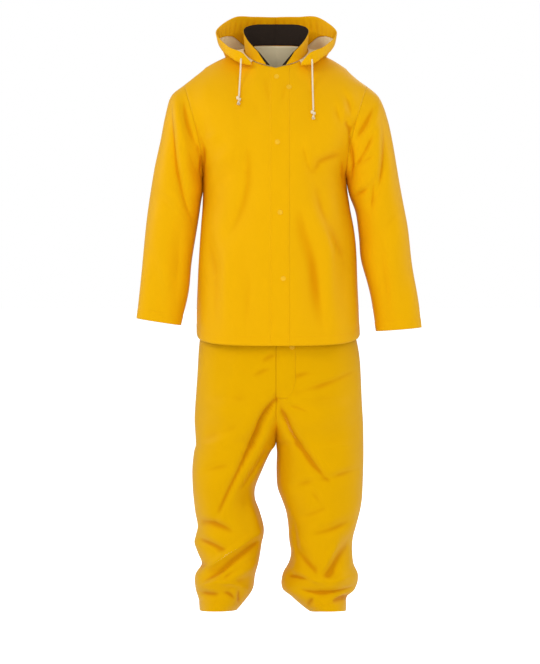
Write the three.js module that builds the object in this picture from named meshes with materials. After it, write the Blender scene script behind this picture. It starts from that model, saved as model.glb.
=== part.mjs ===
// A two-piece rain suit, hollow and in the pose of someone standing: a hooded jacket over trousers.
// Millimetres, +Z up. The front faces -Y and the wearer's left is +X.
// The origin is the middle of the neck, level with the shoulders that carry the suit.
//
// Every cloth panel is a grid of points. On the jacket and trousers a row of the grid is one cubic curve
// from the panel's inner seam to its outer seam, and on a sleeve a row is a ring.
// Panels that share a seam share its points, and so the direction of their thickness there.

import * as THREE from "three";

// Cloth and seams
const WALL = 2; // thickness of a cloth wall
const SEAM_GAP = 0.4; // between two panels at a seam
const LAY_GAP = 0.5; // between a strip and the panel that it lies on
const VIEW_DISTANCE = 5000; // the folds are placed as seen from the front, from this far
const VIEW_HEIGHT = -514; // and from this height

// How finely the panels are cut up
const ROWS_BODY = 9; // jacket rows from hem to armpit
const ROWS_ARMHOLE = 8; // jacket rows from armpit to shoulder, and half the points round a sleeve
const ACROSS_NECK = 4; // steps from the centre of the jacket to below the side of the neck
const ACROSS_SHOULDER = 4; // steps from there to its side
const RINGS_SLEEVE = 16;
const ACROSS_LEG = 8; // steps from the inner to the outer seam of a trouser panel
const AROUND_HOOD = 9; // steps from the back of the hood to its front corner
const PROFILE_HOOD = 10; // steps from the neck seam to the hood's rim

// Jacket
const HEM_Z = -735; // at the centre
const HEM_SIDE_RISE = 30; // the hem curves up to the side seams
const ARMPIT_Z = -290;
const SIDE_Y = 4; // the side seams lie just behind the middle
const SLEEVE_STAND_OFF = 1.4; // each sleeve lies this far outside the body's armhole
const SLEEVE_END_GAP = 1; // and its ends are drawn in this far
const ARMHOLE_SCOOP = 13; // how far the front and back of the armhole are cut in
const SECTION_POWER = 2.2; // sleeve rings are a little squarer than ellipses

// Half-widths to the wearer's right and left, depths to the front and back, and how square the section is.
const BODY = [
  { z: -729, right: 209, left: 221, front: 158, back: 142, square: 0.74 },
  { z: -640, right: 208, left: 220, front: 158, back: 142, square: 0.7 },
  { z: -540, right: 206, left: 214, front: 155, back: 140, square: 0.66 },
  { z: -440, right: 200, left: 206, front: 152, back: 141, square: 0.62 },
  { z: -370, right: 193, left: 195, front: 150, back: 144, square: 0.6 },
  { z: -325, right: 189, left: 185, front: 149, back: 146, square: 0.58 },
  { z: -290, right: 192, left: 184, front: 148, back: 148, square: 0.58 },
];

// The centre line from the armpit's height (rise 0) to the neck (rise 1).
const CENTRE = {
  front: [
    { rise: 0, y: -148, z: -290 },
    { rise: 0.35, y: -137, z: -185 },
    { rise: 0.7, y: -108, z: -85 },
    { rise: 1, y: -79, z: -16 },
  ],
  back: [
    { rise: 0, y: 148, z: -290 },
    { rise: 0.35, y: 141, z: -165 },
    { rise: 0.7, y: 116, z: -35 },
    { rise: 1, y: 78, z: 58 },
  ],
};

// The neckline, from the back of the neck (turn 0) round its side to the throat (turn 1).
const NECK = [
  { turn: 0, x: 0, y: 78, z: 58 },
  { turn: 0.2, x: 44, y: 66, z: 56 },
  { turn: 0.36, x: 70, y: 40, z: 50 },
  { turn: 0.5, x: 81, y: 6, z: 40 },
  { turn: 0.66, x: 77, y: -30, z: 22 },
  { turn: 0.82, x: 54, y: -63, z: 1 },
  { turn: 1, x: 0, y: -79, z: -16 },
];
const NECK_SHARE = 0.4; // the neckline's share of a panel's top edge; the rest is the shoulder seam
const SHOULDER_RISE = 11; // the shoulder seam's middle lies this far above a straight line

// A sleeve ring spans from the outside of the arm (out) to the underarm (under); the first is the armhole.
const SLEEVES = {
  right: [
    { ring: 0, outX: 247, outZ: -49, underX: 192, underZ: -290, depth: 84, midY: 4 },
    { ring: 1, outX: 265, outZ: -61, underX: 198, underZ: -299, depth: 88, midY: 4 },
    { ring: 2, outX: 280, outZ: -89, underX: 200, underZ: -311, depth: 91, midY: 5 },
    { ring: 3, outX: 292, outZ: -140, underX: 201, underZ: -327, depth: 93, midY: 6 },
    { ring: 4, outX: 303, outZ: -196, underX: 202, underZ: -348, depth: 93, midY: 7 },
    { ring: 5, outX: 322, outZ: -276, underX: 204, underZ: -392, depth: 90, midY: 8 },
    { ring: 6, outX: 337, outZ: -371, underX: 211, underZ: -447, depth: 84, midY: 8 },
    { ring: 7, outX: 350, outZ: -482, underX: 222, underZ: -520, depth: 75, midY: 4 },
    { ring: 8, outX: 360, outZ: -585, underX: 231, underZ: -600, depth: 62, midY: -4 },
    { ring: 9, outX: 368, outZ: -668, underX: 252, underZ: -686, depth: 47, midY: -12 },
  ],
  left: [
    { ring: 0, outX: 245, outZ: -53, underX: 184, underZ: -290, depth: 84, midY: 4 },
    { ring: 1, outX: 262, outZ: -65, underX: 191, underZ: -303, depth: 88, midY: 4 },
    { ring: 2, outX: 276, outZ: -91, underX: 194, underZ: -318, depth: 91, midY: 5 },
    { ring: 3, outX: 290, outZ: -130, underX: 197, underZ: -335, depth: 93, midY: 6 },
    { ring: 4, outX: 305, outZ: -190, underX: 201, underZ: -356, depth: 93, midY: 7 },
    { ring: 5, outX: 326, outZ: -300, underX: 213, underZ: -396, depth: 90, midY: 8 },
    { ring: 6, outX: 344, outZ: -408, underX: 222, underZ: -455, depth: 84, midY: 8 },
    { ring: 7, outX: 358, outZ: -500, underX: 227, underZ: -522, depth: 75, midY: 4 },
    { ring: 8, outX: 374, outZ: -606, underX: 251, underZ: -614, depth: 62, midY: -4 },
    { ring: 9, outX: 384, outZ: -692, underX: 265, underZ: -702, depth: 47, midY: -12 },
  ],
};

// Trousers: depth to the front and back, how far the centre seam has gone under the crotch (tuck, 0 to 1),
// and how far a row turns away from sideways as it leaves that seam (turn, degrees).
const LEG_SECTIONS = [
  { z: -545, front: 108, back: 108, tuck: 0, turn: 0 },
  { z: -640, front: 122, back: 126, tuck: 0, turn: 0 },
  { z: -740, front: 132, back: 136, tuck: 0, turn: 0 },
  { z: -810, front: 133, back: 138, tuck: 0, turn: 0 },
  { z: -868, front: 130, back: 136, tuck: 0.02, turn: 8 },
  { z: -905, front: 128, back: 134, tuck: 0.14, turn: 36 },
  { z: -945, front: 124, back: 130, tuck: 0.38, turn: 66 },
  { z: -980, front: 122, back: 127, tuck: 0.7, turn: 84 },
  { z: -1002, front: 121, back: 126, tuck: 1, turn: 90 },
  { z: -1080, front: 119, back: 122, tuck: 1, turn: 90 },
  { z: -1150, front: 112, back: 115, tuck: 1, turn: 90 },
  { z: -1250, front: 103, back: 107, tuck: 1, turn: 90 },
  { z: -1350, front: 101, back: 103, tuck: 1, turn: 90 },
  { z: -1446, front: 96, back: 90, tuck: 1, turn: 90 },
];
const LEG_HEM_FROM = -1340;
const LEG_HEM_RISE = 12; // the hem's front rides higher than its sides

// The outline of each leg, seen from the front: distance of the inner and outer edge from the middle.
const LEG_OUTLINE = {
  right: [
    { z: -545, inner: 0, outer: 162 },
    { z: -640, inner: 0, outer: 186 },
    { z: -725, inner: 0, outer: 202 },
    { z: -800, inner: 0, outer: 209 },
    { z: -928, inner: 0, outer: 215 },
    { z: -1002, inner: 0, outer: 212 },
    { z: -1023, inner: 13, outer: 217 },
    { z: -1071, inner: 36, outer: 223 },
    { z: -1118, inner: 56, outer: 223 },
    { z: -1150, inner: 57, outer: 220 },
    { z: -1182, inner: 45, outer: 215 },
    { z: -1222, inner: 33, outer: 207 },
    { z: -1246, inner: 33, outer: 212 },
    { z: -1265, inner: 37, outer: 216 },
    { z: -1293, inner: 41, outer: 207 },
    { z: -1322, inner: 46, outer: 198 },
    { z: -1352, inner: 54, outer: 216 },
    { z: -1389, inner: 61, outer: 216 },
    { z: -1420, inner: 82, outer: 207 },
    { z: -1446, inner: 104, outer: 204 },
  ],
  left: [
    { z: -545, inner: 0, outer: 166 },
    { z: -640, inner: 0, outer: 190 },
    { z: -725, inner: 0, outer: 212 },
    { z: -800, inner: 0, outer: 223 },
    { z: -928, inner: 0, outer: 231 },
    { z: -1002, inner: 0, outer: 231 },
    { z: -1023, inner: 2, outer: 231 },
    { z: -1071, inner: 2, outer: 231 },
    { z: -1118, inner: 5, outer: 231 },
    { z: -1150, inner: 16, outer: 230 },
    { z: -1182, inner: 27, outer: 225 },
    { z: -1222, inner: 33, outer: 214 },
    { z: -1246, inner: 34, outer: 207 },
    { z: -1265, inner: 36, outer: 204 },
    { z: -1293, inner: 40, outer: 203 },
    { z: -1322, inner: 34, outer: 206 },
    { z: -1352, inner: 18, outer: 217 },
    { z: -1389, inner: 18, outer: 210 },
    { z: -1410, inner: 42, outer: 190 },
    { z: -1446, inner: 88, outer: 186 },
  ],
};
// Heights of the trouser rows, closer where the seams turn and where the legs bunch up.
const LEG_STEPS = [
  { from: -545, to: -868, rows: 5 },
  { from: -868, to: -1002, rows: 5 },
  { from: -1002, to: -1210, rows: 5 },
  { from: -1210, to: -1446, rows: 13 },
];

// The largest folds, on what is seen from the front or from behind: a soft trough (negative depth) or ridge
// from one point to another, bowed sideways by bow.
const FOLDS = [
  // Jacket front: folds from the armpits and the slack over the flap's side.
  { on: "front", x0: -87, z0: -217, x1: -132, z1: -413, bow: 20, width: 20, depth: -10 },
  { on: "front", x0: -143, z0: -249, x1: -180, z1: -421, bow: -10, width: 20, depth: 7 },
  { on: "front", x0: -132, z0: -435, x1: -132, z1: -739, bow: 0, width: 24, depth: 6 },
  { on: "front", x0: 111, z0: -249, x1: 191, z1: -231, bow: 0, width: 15, depth: -9 },
  { on: "front", x0: 93, z0: -297, x1: 122, z1: -421, bow: 0, width: 14, depth: -6 },
  { on: "front", x0: 114, z0: -329, x1: 204, z1: -541, bow: -12, width: 22, depth: -11 },
  { on: "front", x0: 58, z0: -519, x1: 138, z1: -726, bow: 0, width: 20, depth: -11 },
  { on: "front", x0: 122, z0: -421, x1: 122, z1: -620, bow: 0, width: 18, depth: 8 },
  // Jacket back: the same slack, hanging from the shoulder blades.
  { on: "back", x0: -150, z0: -330, x1: -60, z1: -560, bow: 16, width: 28, depth: -9 },
  { on: "back", x0: 150, z0: -320, x1: 84, z1: -600, bow: -18, width: 28, depth: -10 },
  { on: "back", x0: 20, z0: -420, x1: 40, z1: -700, bow: 8, width: 24, depth: 7 },
  // Sleeves: the deep fold down the front of each upper arm, and the slack beside it.
  { on: "front", x0: -278, z0: -111, x1: -223, z1: -395, bow: -17, width: 20, depth: -14 },
  { on: "front", x0: -260, z0: -69, x1: -236, z1: -228, bow: -8, width: 14, depth: 7 },
  { on: "front", x0: 284, z0: -138, x1: 249, z1: -355, bow: 14, width: 20, depth: -13 },
  { on: "front", x0: 246, z0: -64, x1: 204, z1: -170, bow: 8, width: 14, depth: -7 },
  { on: "front", x0: 246, z0: -315, x1: 196, z1: -347, bow: 0, width: 14, depth: -7 },
  { on: "back", x0: -270, z0: -150, x1: -225, z1: -420, bow: -12, width: 22, depth: -10 },
  { on: "back", x0: 274, z0: -130, x1: 240, z1: -400, bow: 14, width: 22, depth: -11 },
  // Trousers: folds from the crotch to the knees, and the sag over the thighs.
  { on: "front", x0: -26, z0: -951, x1: -170, z1: -1190, bow: 20, width: 22, depth: -11 },
  { on: "front", x0: -183, z0: -991, x1: -95, z1: -978, bow: -20, width: 18, depth: 7 },
  { on: "front", x0: 37, z0: -933, x1: 130, z1: -1094, bow: -16, width: 20, depth: -12 },
  { on: "front", x0: 40, z0: -1102, x1: 180, z1: -1079, bow: 4, width: 18, depth: -9 },
  { on: "front", x0: 143, z0: -1222, x1: 215, z1: -1169, bow: 0, width: 20, depth: -8 },
  { on: "front", x0: 103, z0: -1296, x1: 201, z1: -1251, bow: 0, width: 22, depth: -8 },
  { on: "front", x0: -58, z0: -1132, x1: -42, z1: -1269, bow: -18, width: 16, depth: 7 },
  { on: "back", x0: 22, z0: -940, x1: 160, z1: -1150, bow: -16, width: 26, depth: -10 },
  { on: "back", x0: -24, z0: -940, x1: -170, z1: -1130, bow: 18, width: 26, depth: -10 },
  // The wearer's right ankle.
  { on: "front", x0: -204, z0: -1243, x1: -156, z1: -1277, bow: 0, width: 13, depth: -13 },
  { on: "front", x0: -60, z0: -1250, x1: -200, z1: -1352, bow: 0, width: 14, depth: 9 },
  { on: "front", x0: -37, z0: -1269, x1: -201, z1: -1383, bow: 4, width: 14, depth: -17 },
  { on: "front", x0: -201, z0: -1389, x1: -69, z1: -1394, bow: 22, width: 13, depth: 9 },
  { on: "front", x0: -200, z0: -1402, x1: -165, z1: -1402, bow: 0, width: 12, depth: -9 },
  { on: "back", x0: -200, z0: -1290, x1: -60, z1: -1258, bow: 14, width: 15, depth: -12 },
  { on: "back", x0: -205, z0: -1372, x1: -70, z1: -1342, bow: 12, width: 15, depth: -14 },
  // The wearer's left ankle.
  { on: "front", x0: 48, z0: -1352, x1: 98, z1: -1368, bow: 0, width: 13, depth: -12 },
  { on: "front", x0: 60, z0: -1362, x1: 205, z1: -1356, bow: -12, width: 14, depth: 9 },
  { on: "front", x0: 72, z0: -1389, x1: 201, z1: -1383, bow: -16, width: 13, depth: -17 },
  { on: "front", x0: 201, z0: -1256, x1: 135, z1: -1370, bow: 0, width: 13, depth: -9 },
  { on: "back", x0: 44, z0: -1302, x1: 196, z1: -1278, bow: 14, width: 15, depth: -12 },
  { on: "back", x0: 30, z0: -1384, x1: 200, z1: -1372, bow: 14, width: 15, depth: -14 },
];

// Hood, worn down: each profile leaves the neck seam, hangs as a pouch and comes up to the rim.
// turn runs from 0 at the back of the neck to 1 at the hood's front corner.
const HOOD = [
  { turn: 0, lowOut: 150, lowDrop: 285, highOut: 120, highDrop: 250, rimX: 0, rimY: 128, rimZ: 140 },
  { turn: 0.2, lowOut: 140, lowDrop: 250, highOut: 90, highDrop: 215, rimX: 58, rimY: 114, rimZ: 139 },
  { turn: 0.4, lowOut: 98, lowDrop: 128, highOut: 15, highDrop: 130, rimX: 112, rimY: 78, rimZ: 133 },
  { turn: 0.6, lowOut: 58, lowDrop: 12, highOut: -12, highDrop: 62, rimX: 160, rimY: 18, rimZ: 88 },
  { turn: 0.8, lowOut: 58, lowDrop: 2, highOut: 4, highDrop: 34, rimX: 128, rimY: -54, rimZ: 42 },
  { turn: 0.92, lowOut: 38, lowDrop: 22, highOut: 6, highDrop: 38, rimX: 88, rimY: -84, rimZ: 21 },
  { turn: 1, lowOut: 12, lowDrop: 8, highOut: -4, highDrop: 16, rimX: 65, rimY: -86, rimZ: -4 },
];
const HOOD_CLEAR = 3.2; // the hood's base stands this far outside the neckline
const HOOD_FRONT = 0.2; // share of the half neckline that the hood leaves free at the front

// Collar: its top edge, from the back of the neck (0) to the open front corner (1).
const COLLAR_TOP = [
  { turn: 0, x: 0, y: 84, z: 116 },
  { turn: 0.25, x: 60, y: 64, z: 112 },
  { turn: 0.5, x: 86, y: 14, z: 94 },
  { turn: 0.75, x: 76, y: -42, z: 62 },
  { turn: 0.9, x: 58, y: -72, z: 37 },
  { turn: 1, x: 45, y: -86, z: 22 },
];
const COLLAR_LIFT = 1; // gap between the neckline and the collar's lower edge
const COLLAR_END = 0.95; // the collar stops short of the throat, so its front is open
const COLLAR_STEPS = 10; // steps from the back of the collar to its end
const COLLAR_ROWS = 3; // steps from its foot to its top edge
const FACING = { gap: 0.5, wall: 1.2 };

// Front flap, fly and fastenings
const FLAP_END_GAP = 1.2; // the flap stops this far short of the neck seam and the hem
const FLY_RELEASE = 120; // below the fly the columns of the panel spread out over this height
const FLAP = { right: 16, left: 35, wall: 2 };
const FLY = { width: 51, tip: 14, taperFrom: -820, bottom: -868, wall: 2 };

const SNAP = { radius: 6.5, height: 2.4, sides: 12, gap: 0.5 };
const SNAPS = [
  { name: "snap_throat", x: 1, z: -40 },
  { name: "snap_collar_side", x: 33, z: -68 },
  { name: "snap_chest", x: 3, z: -212 },
  { name: "snap_waist", x: 10, z: -392 },
  { name: "snap_lower", x: 18, z: -562 },
];
const FLY_SNAP = { name: "snap_fly", x: 41, z: -739 };

// Waistband of the trousers, hidden under the jacket
const WAISTBAND = { top: -503, bottom: -544, wall: 4, gathers: 18, gatherDepth: 2.5, steps: 18 };

// Drawcord: what hangs out of each front corner of the hood's hem
const CORD_DIAMETER = 4.6;
const CORD_SIDES = 8;
const CORD_ROUTES = {
  right: [
    [-91, -82, 6.5],
    [-91, -87.2, 3.4],
    [-91.3, -89.6, -4],
    [-92.5, -90, -28],
    [-94, -90.5, -52],
    [-95, -94, -70],
    [-95.5, -100, -84],
    [-96, -105.5, -93],
  ],
  left: [
    [93, -81.6, 5],
    [93, -86.6, 2.2],
    [93.2, -89.2, -5],
    [93.8, -90, -32],
    [94.3, -91.5, -58],
    [94.8, -97, -78],
    [95.2, -106, -98],
    [95.5, -115, -118],
    [95.6, -120.5, -130],
  ],
};
const KNOT = { radius: 6, length: 13, tail: 15, tailRadius: 4, gap: 0.4, sides: 8 };

const YELLOW = new THREE.MeshStandardMaterial({ color: 0xf2b200, roughness: 0.45, metalness: 0 });
const DARK_CORD_CLOTH = new THREE.MeshStandardMaterial({ color: 0x2b2622, roughness: 0.95, metalness: 0 });
const WHITE_CORD = new THREE.MeshStandardMaterial({ color: 0xf1e6d6, roughness: 0.9, metalness: 0 });
const SNAP_FINISH = new THREE.MeshStandardMaterial({ color: 0xf0bc20, roughness: 0.3, metalness: 0.2 });

const vec = (x, y, z) => new THREE.Vector3(x, y, z);
const mix = (a, b, t) => a + (b - a) * t;
const clamp01 = (t) => Math.min(1, Math.max(0, t));
const radians = THREE.MathUtils.degToRad;

// The value of one column of a table at a place between two of its rows, on a smooth curve through all.
function read(table, key, column, at) {
  const sign = Math.sign(table[1][key] - table[0][key]);
  let i = 0;
  while (i < table.length - 2 && (at - table[i + 1][key]) * sign > 0) i++;
  const slope = (k) => {
    const a = table[Math.max(0, k - 1)];
    const b = table[Math.min(table.length - 1, k + 1)];
    return (b[column] - a[column]) / (b[key] - a[key]);
  };
  const [a, b] = [table[i], table[i + 1]];
  const span = b[key] - a[key];
  const t = clamp01((at - a[key]) / span);
  const t2 = t * t;
  const t3 = t2 * t;
  return (
    (2 * t3 - 3 * t2 + 1) * a[column] +
    (t3 - 2 * t2 + t) * span * slope(i) +
    (3 * t2 - 2 * t3) * b[column] +
    (t3 - t2) * span * slope(i + 1)
  );
}

// A point on the cubic curve that leaves a towards a + pullA and reaches b from b - pullB.
function cubic(a, pullA, b, pullB, t) {
  const s = 1 - t;
  return a
    .clone()
    .multiplyScalar(s * s * s + 3 * s * s * t)
    .addScaledVector(pullA, 3 * s * s * t)
    .addScaledVector(b, 3 * s * t * t + t * t * t)
    .addScaledVector(pullB, -3 * s * t * t);
}

// Cosine and sine of a rounded rectangle's angle, which gives the points of a superellipse.
const squared = (value) => Math.sign(value) * Math.abs(value) ** (2 / SECTION_POWER);

// A point of a sleeve's ring. Angle 0 is the outside of the arm, and it turns by the front to the underarm.
function ringPoint(side, ring, angle) {
  const table = SLEEVES[side];
  const at = (column) => read(table, "ring", column, ring);
  const along = squared(Math.cos(angle));
  const forward = squared(Math.sin(angle));
  const scoop = ARMHOLE_SCOOP * Math.sin(angle) ** 2 * clamp01(1 - ring / 2);
  const x = mix(at("underX"), at("outX"), (along + 1) / 2) - scoop;
  const z = mix(at("underZ"), at("outZ"), (along + 1) / 2);
  return vec(side === "left" ? x : -x, at("midY") - at("depth") * forward, z);
}

// A row of the jacket's body, from the centre (across 0) to the side seam or armhole (across 1), before its
// top edge is shaped. level 0 is the hem, 1 the armpit and 2 the shoulder.
function bodyCurve(side, face, level, across) {
  const out = side === "left" ? 1 : -1;
  const forward = face === "front" ? -1 : 1;
  const rise = Math.max(0, level - 1);
  const z = mix(HEM_Z, ARMPIT_Z, Math.min(1, level));
  const centre = (column) => read(CENTRE[face], "rise", column, rise);
  const depth = read(BODY, "z", face, z);
  const inner = level <= 1 ? vec(0, forward * depth, z) : vec(0, centre("y"), centre("z"));
  const outer =
    level <= 1
      ? vec(out * read(BODY, "z", side, z), SIDE_Y, z)
      : ringPoint(side, 0, -forward * Math.PI * (1 - rise));
  const width = Math.abs(outer.x - inner.x);
  const fall = (outer.z - inner.z) / width;
  const swing = radians(90 * (1 - rise));
  const square = read(BODY, "z", "square", z);
  const pullIn = vec(out, 0, 0.65 * fall).multiplyScalar(mix(square, 0.36, rise) * width);
  const pullOut = vec(out * Math.cos(swing), -forward * Math.sin(swing), 1.4 * fall * Math.cos(swing));
  pullOut.multiplyScalar(mix(0.6 * depth, 0.36 * width, rise));
  return cubic(inner, pullIn, outer, pullOut, across);
}

// The half neckline, from the back (0) round the side to the throat (1).
function neckPoint(side, turn) {
  const at = (column) => read(NECK, "turn", column, turn);
  return vec((side === "left" ? 1 : -1) * at("x"), at("y"), at("z"));
}

// A point of a panel's top edge: half of the half neckline, then the shoulder seam.
function topPoint(side, face, across) {
  const round = Math.min(1, across / NECK_SHARE) / 2;
  if (across <= NECK_SHARE) return neckPoint(side, face === "front" ? 1 - round : round);
  const along = (across - NECK_SHARE) / (1 - NECK_SHARE);
  const p = neckPoint(side, 0.5).lerp(ringPoint(side, 0, 0), along);
  p.z += SHOULDER_RISE * Math.sin(Math.PI * along);
  return p;
}

// A point of the jacket's body, with its hem's curve and its top edge.
function bodyPoint(side, face, level, across) {
  const p = bodyCurve(side, face, level, across);
  if (level < 1) p.z += HEM_SIDE_RISE * (1 - level) ** 2 * across ** 3;
  const toTop = Math.max(0, level - 1) ** 3;
  const change = topPoint(side, face, across).sub(bodyCurve(side, face, 2, across));
  return p.addScaledVector(change, toTop);
}

// A point of a trouser panel at height z; across goes from the centre seam or inseam to the side seam.
function legPoint(side, face, z, across) {
  const out = side === "left" ? 1 : -1;
  const forward = face === "front" ? -1 : 1;
  const at = (column) => read(LEG_SECTIONS, "z", column, z);
  const depth = at(face);
  const tuck = clamp01(at("tuck"));
  const turn = radians(Math.min(90, Math.max(0, at("turn"))));
  const wide = read(LEG_OUTLINE[side], "z", "outer", z);
  const near = Math.max(0, read(LEG_OUTLINE[side], "z", "inner", z));
  const hemShare = clamp01((z - LEG_HEM_FROM) / (LEG_SECTIONS.at(-1).z - LEG_HEM_FROM));
  const inner = vec(out * near, SIDE_Y + forward * depth * (1 - tuck), z);
  const outer = vec(out * wide, SIDE_Y, z);
  const pullIn = vec(out * Math.cos(turn), forward * Math.sin(turn), 0);
  pullIn.multiplyScalar(mix(0.6 * wide, 1.32 * depth, tuck) * (1 - 0.16 * Math.sin(Math.PI * tuck)));
  const pullOut = vec(0, -forward * mix(0.62 * depth, 1.32 * depth, tuck), 0);
  const p = cubic(inner, pullIn, outer, pullOut, across);
  if (face === "front") p.z += LEG_HEM_RISE * hemShare * Math.sin(Math.PI * across);
  return p;
}

// A point of the hood; turn goes from the back to the front corner, share from the neck seam to the rim.
function hoodPoint(side, turn, share) {
  const at = (column) => read(HOOD, "turn", column, turn);
  const neck = neckPoint(side, turn * (1 - HOOD_FRONT));
  const outward = vec(neck.x, neck.y, 0).normalize();
  const base = neck.addScaledVector(outward, HOOD_CLEAR).add(vec(0, 0, 1));
  const rim = vec((side === "left" ? 1 : -1) * at("rimX"), at("rimY"), at("rimZ"));
  const rimOut = vec(rim.x, rim.y, 0).normalize();
  const low = outward.clone().multiplyScalar(at("lowOut")).add(vec(0, 0, -at("lowDrop")));
  const high = rimOut.multiplyScalar(-at("highOut")).add(vec(0, 0, at("highDrop")));
  return cubic(base, low, rim, high, share);
}

// A point of the collar, from its lower edge (share 0) to its top (1).
function collarPoint(side, turn, share) {
  const foot = neckPoint(side, turn * COLLAR_END).add(vec(0, 0, COLLAR_LIFT));
  const at = (column) => read(COLLAR_TOP, "turn", column, turn);
  return foot.lerp(vec((side === "left" ? 1 : -1) * at("x"), at("y"), at("z")), share);
}

// How far the folds push a point out, from where it is seen from the front or from behind.
function foldHeight(p, normal) {
  const near = VIEW_DISTANCE / (VIEW_DISTANCE + (normal.y < 0 ? p.y : -p.y));
  const x = p.x * near;
  const z = VIEW_HEIGHT + (p.z - VIEW_HEIGHT) * near;
  let height = 0;
  for (const fold of FOLDS) {
    const facing = fold.on === "front" ? -normal.y : normal.y;
    if (facing <= 0) continue;
    const [dx, dz] = [fold.x1 - fold.x0, fold.z1 - fold.z0];
    const length = Math.hypot(dx, dz);
    const along = ((x - fold.x0) * dx + (z - fold.z0) * dz) / length ** 2;
    const t = clamp01(along);
    const bow = 4 * fold.bow * t * (1 - t);
    const aside = ((x - fold.x0) * -dz + (z - fold.z0) * dx) / length - bow;
    const beyond = (along - t) * length;
    const taper = Math.sin(Math.PI * mix(0.12, 0.88, t));
    const fade = Math.exp(-(aside * aside + beyond * beyond) / fold.width ** 2);
    height += fold.depth * taper * fade * Math.min(1, facing * 2);
  }
  return height;
}

const steps = (count) => Array.from({ length: count + 1 }, (_, i) => i / count);
const rowMean = (row) => row.reduce((sum, p) => sum.add(p), vec(0, 0, 0)).divideScalar(row.length);
const faceNormal = ([a, b, c, d]) => c.clone().sub(a).cross(d.clone().sub(b));

// Each cell of a panel's grid as the four grid indices round it.
function cells(panel) {
  const [rows, columns] = [panel.grid.length, panel.grid[0].length];
  const quads = [];
  for (let i = 0; i < rows - 1; i++)
    for (let j = 0; j < (panel.ring ? columns : columns - 1); j++) {
      const next = (j + 1) % columns;
      quads.push([[i, j], [i + 1, j], [i + 1, next], [i, next]]);
    }
  return quads;
}

// Finds which way round each panel's cells face out of the hollow, and gives the points that panels share
// one common normal.
function shareNormals(panels) {
  const sums = new Map();
  const keyOf = (p) => [p.x, p.y, p.z].map((value) => Math.round(value * 50)).join();
  for (const panel of panels) {
    const means = panel.grid.map(rowMean);
    const quads = cells(panel).map((quad) => ({ at: quad, points: quad.map(([i, j]) => panel.grid[i][j]) }));
    const outward = quads.reduce((sum, { at, points }) => {
      const away = points[0].clone().add(points[2]).multiplyScalar(0.5).sub(means[at[0][0]]);
      return sum + faceNormal(points).dot(away);
    }, 0);
    panel.turned = outward < 0;
    for (const { points } of quads)
      for (const p of points) {
        const key = keyOf(p);
        if (!sums.has(key)) sums.set(key, vec(0, 0, 0));
        sums.get(key).addScaledVector(faceNormal(points), panel.turned ? -1 : 1);
      }
  }
  for (const panel of panels)
    panel.normals = panel.grid.map((row) => row.map((p) => sums.get(keyOf(p)).clone().normalize()));
}

// Presses the folds into panels that share seams, and works their normals out again.
function pressFolds(panels) {
  shareNormals(panels);
  for (const panel of panels)
    panel.grid = panel.grid.map((row, i) =>
      row.map((p, j) => {
        const normal = panel.normals[i][j];
        return p.clone().addScaledVector(normal, foldHeight(p, normal));
      }),
    );
  shareNormals(panels);
}

// The panel's grid with its edges drawn in by half the seam gap.
function drawnIn({ grid, ring }, endGap) {
  const [rows, columns] = [grid.length, grid[0].length];
  const moved = grid.map((row) => row.map((p) => p.clone()));
  const inset = (i, j, towardsI, towardsJ, gap) => {
    const step = grid[towardsI][towardsJ].clone().sub(grid[i][j]).normalize();
    moved[i][j].addScaledVector(step, gap);
  };
  for (let j = 0; j < columns; j++) {
    inset(0, j, 1, j, endGap);
    inset(rows - 1, j, rows - 2, j, endGap);
  }
  for (let i = 0; i < rows && !ring; i++) {
    inset(i, 0, i, 1, SEAM_GAP / 2);
    inset(i, columns - 1, i, columns - 2, SEAM_GAP / 2);
  }
  return moved;
}

// The closed wall between an outer and an inner grid of points.
function wallGeometry(outer, inner, ring, turned) {
  const [rows, columns] = [outer.length, outer[0].length];
  const points = [...outer.flat(), ...inner.flat()];
  const index = (i, j, layer) => layer * rows * columns + i * columns + (j % columns);
  const faces = [];
  const quad = (a, b, c, d) => (turned ? faces.push(a, c, b, a, d, c) : faces.push(a, b, c, a, c, d));
  const around = ring ? columns : columns - 1;
  const last = rows - 1;
  for (let j = 0; j < around; j++) {
    for (let i = 0; i < last; i++) {
      quad(index(i, j, 0), index(i + 1, j, 0), index(i + 1, j + 1, 0), index(i, j + 1, 0));
      quad(index(i + 1, j + 1, 1), index(i + 1, j, 1), index(i, j, 1), index(i, j + 1, 1));
    }
    quad(index(0, j, 0), index(0, j + 1, 0), index(0, j + 1, 1), index(0, j, 1));
    quad(index(last, j, 1), index(last, j + 1, 1), index(last, j + 1, 0), index(last, j, 0));
  }
  for (let i = 0; i < last && !ring; i++) {
    const end = columns - 1;
    quad(index(i, 0, 1), index(i + 1, 0, 1), index(i + 1, 0, 0), index(i, 0, 0));
    quad(index(i, end, 0), index(i + 1, end, 0), index(i + 1, end, 1), index(i, end, 1));
  }
  const geometry = new THREE.BufferGeometry();
  const values = points.flatMap((p) => [p.x, p.y, p.z]);
  geometry.setAttribute("position", new THREE.Float32BufferAttribute(values, 3));
  geometry.setIndex(faces);
  geometry.computeVertexNormals();
  return geometry;
}

// A grid of points moved out along their normals.
function movedOut(grid, normals, distance) {
  return grid.map((row, i) => row.map((p, j) => p.clone().addScaledVector(normals[i][j], distance)));
}

const suit = new THREE.Group();

function addMesh(name, geometry, material) {
  const mesh = new THREE.Mesh(geometry, material);
  mesh.name = name;
  suit.add(mesh);
  return mesh;
}

// Makes a panel's wall: its points are the outside, and the thickness goes in.
function addPanel(panel, material = YELLOW, wall = WALL, endGap = SEAM_GAP / 2) {
  const outer = drawnIn(panel, endGap);
  const shift = panel.shift ?? vec(0, 0, 0);
  for (const p of outer.flat()) p.add(shift);
  const inner = movedOut(outer, panel.normals, -wall);
  return addMesh(panel.name, wallGeometry(outer, inner, panel.ring, panel.turned), material);
}

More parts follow.
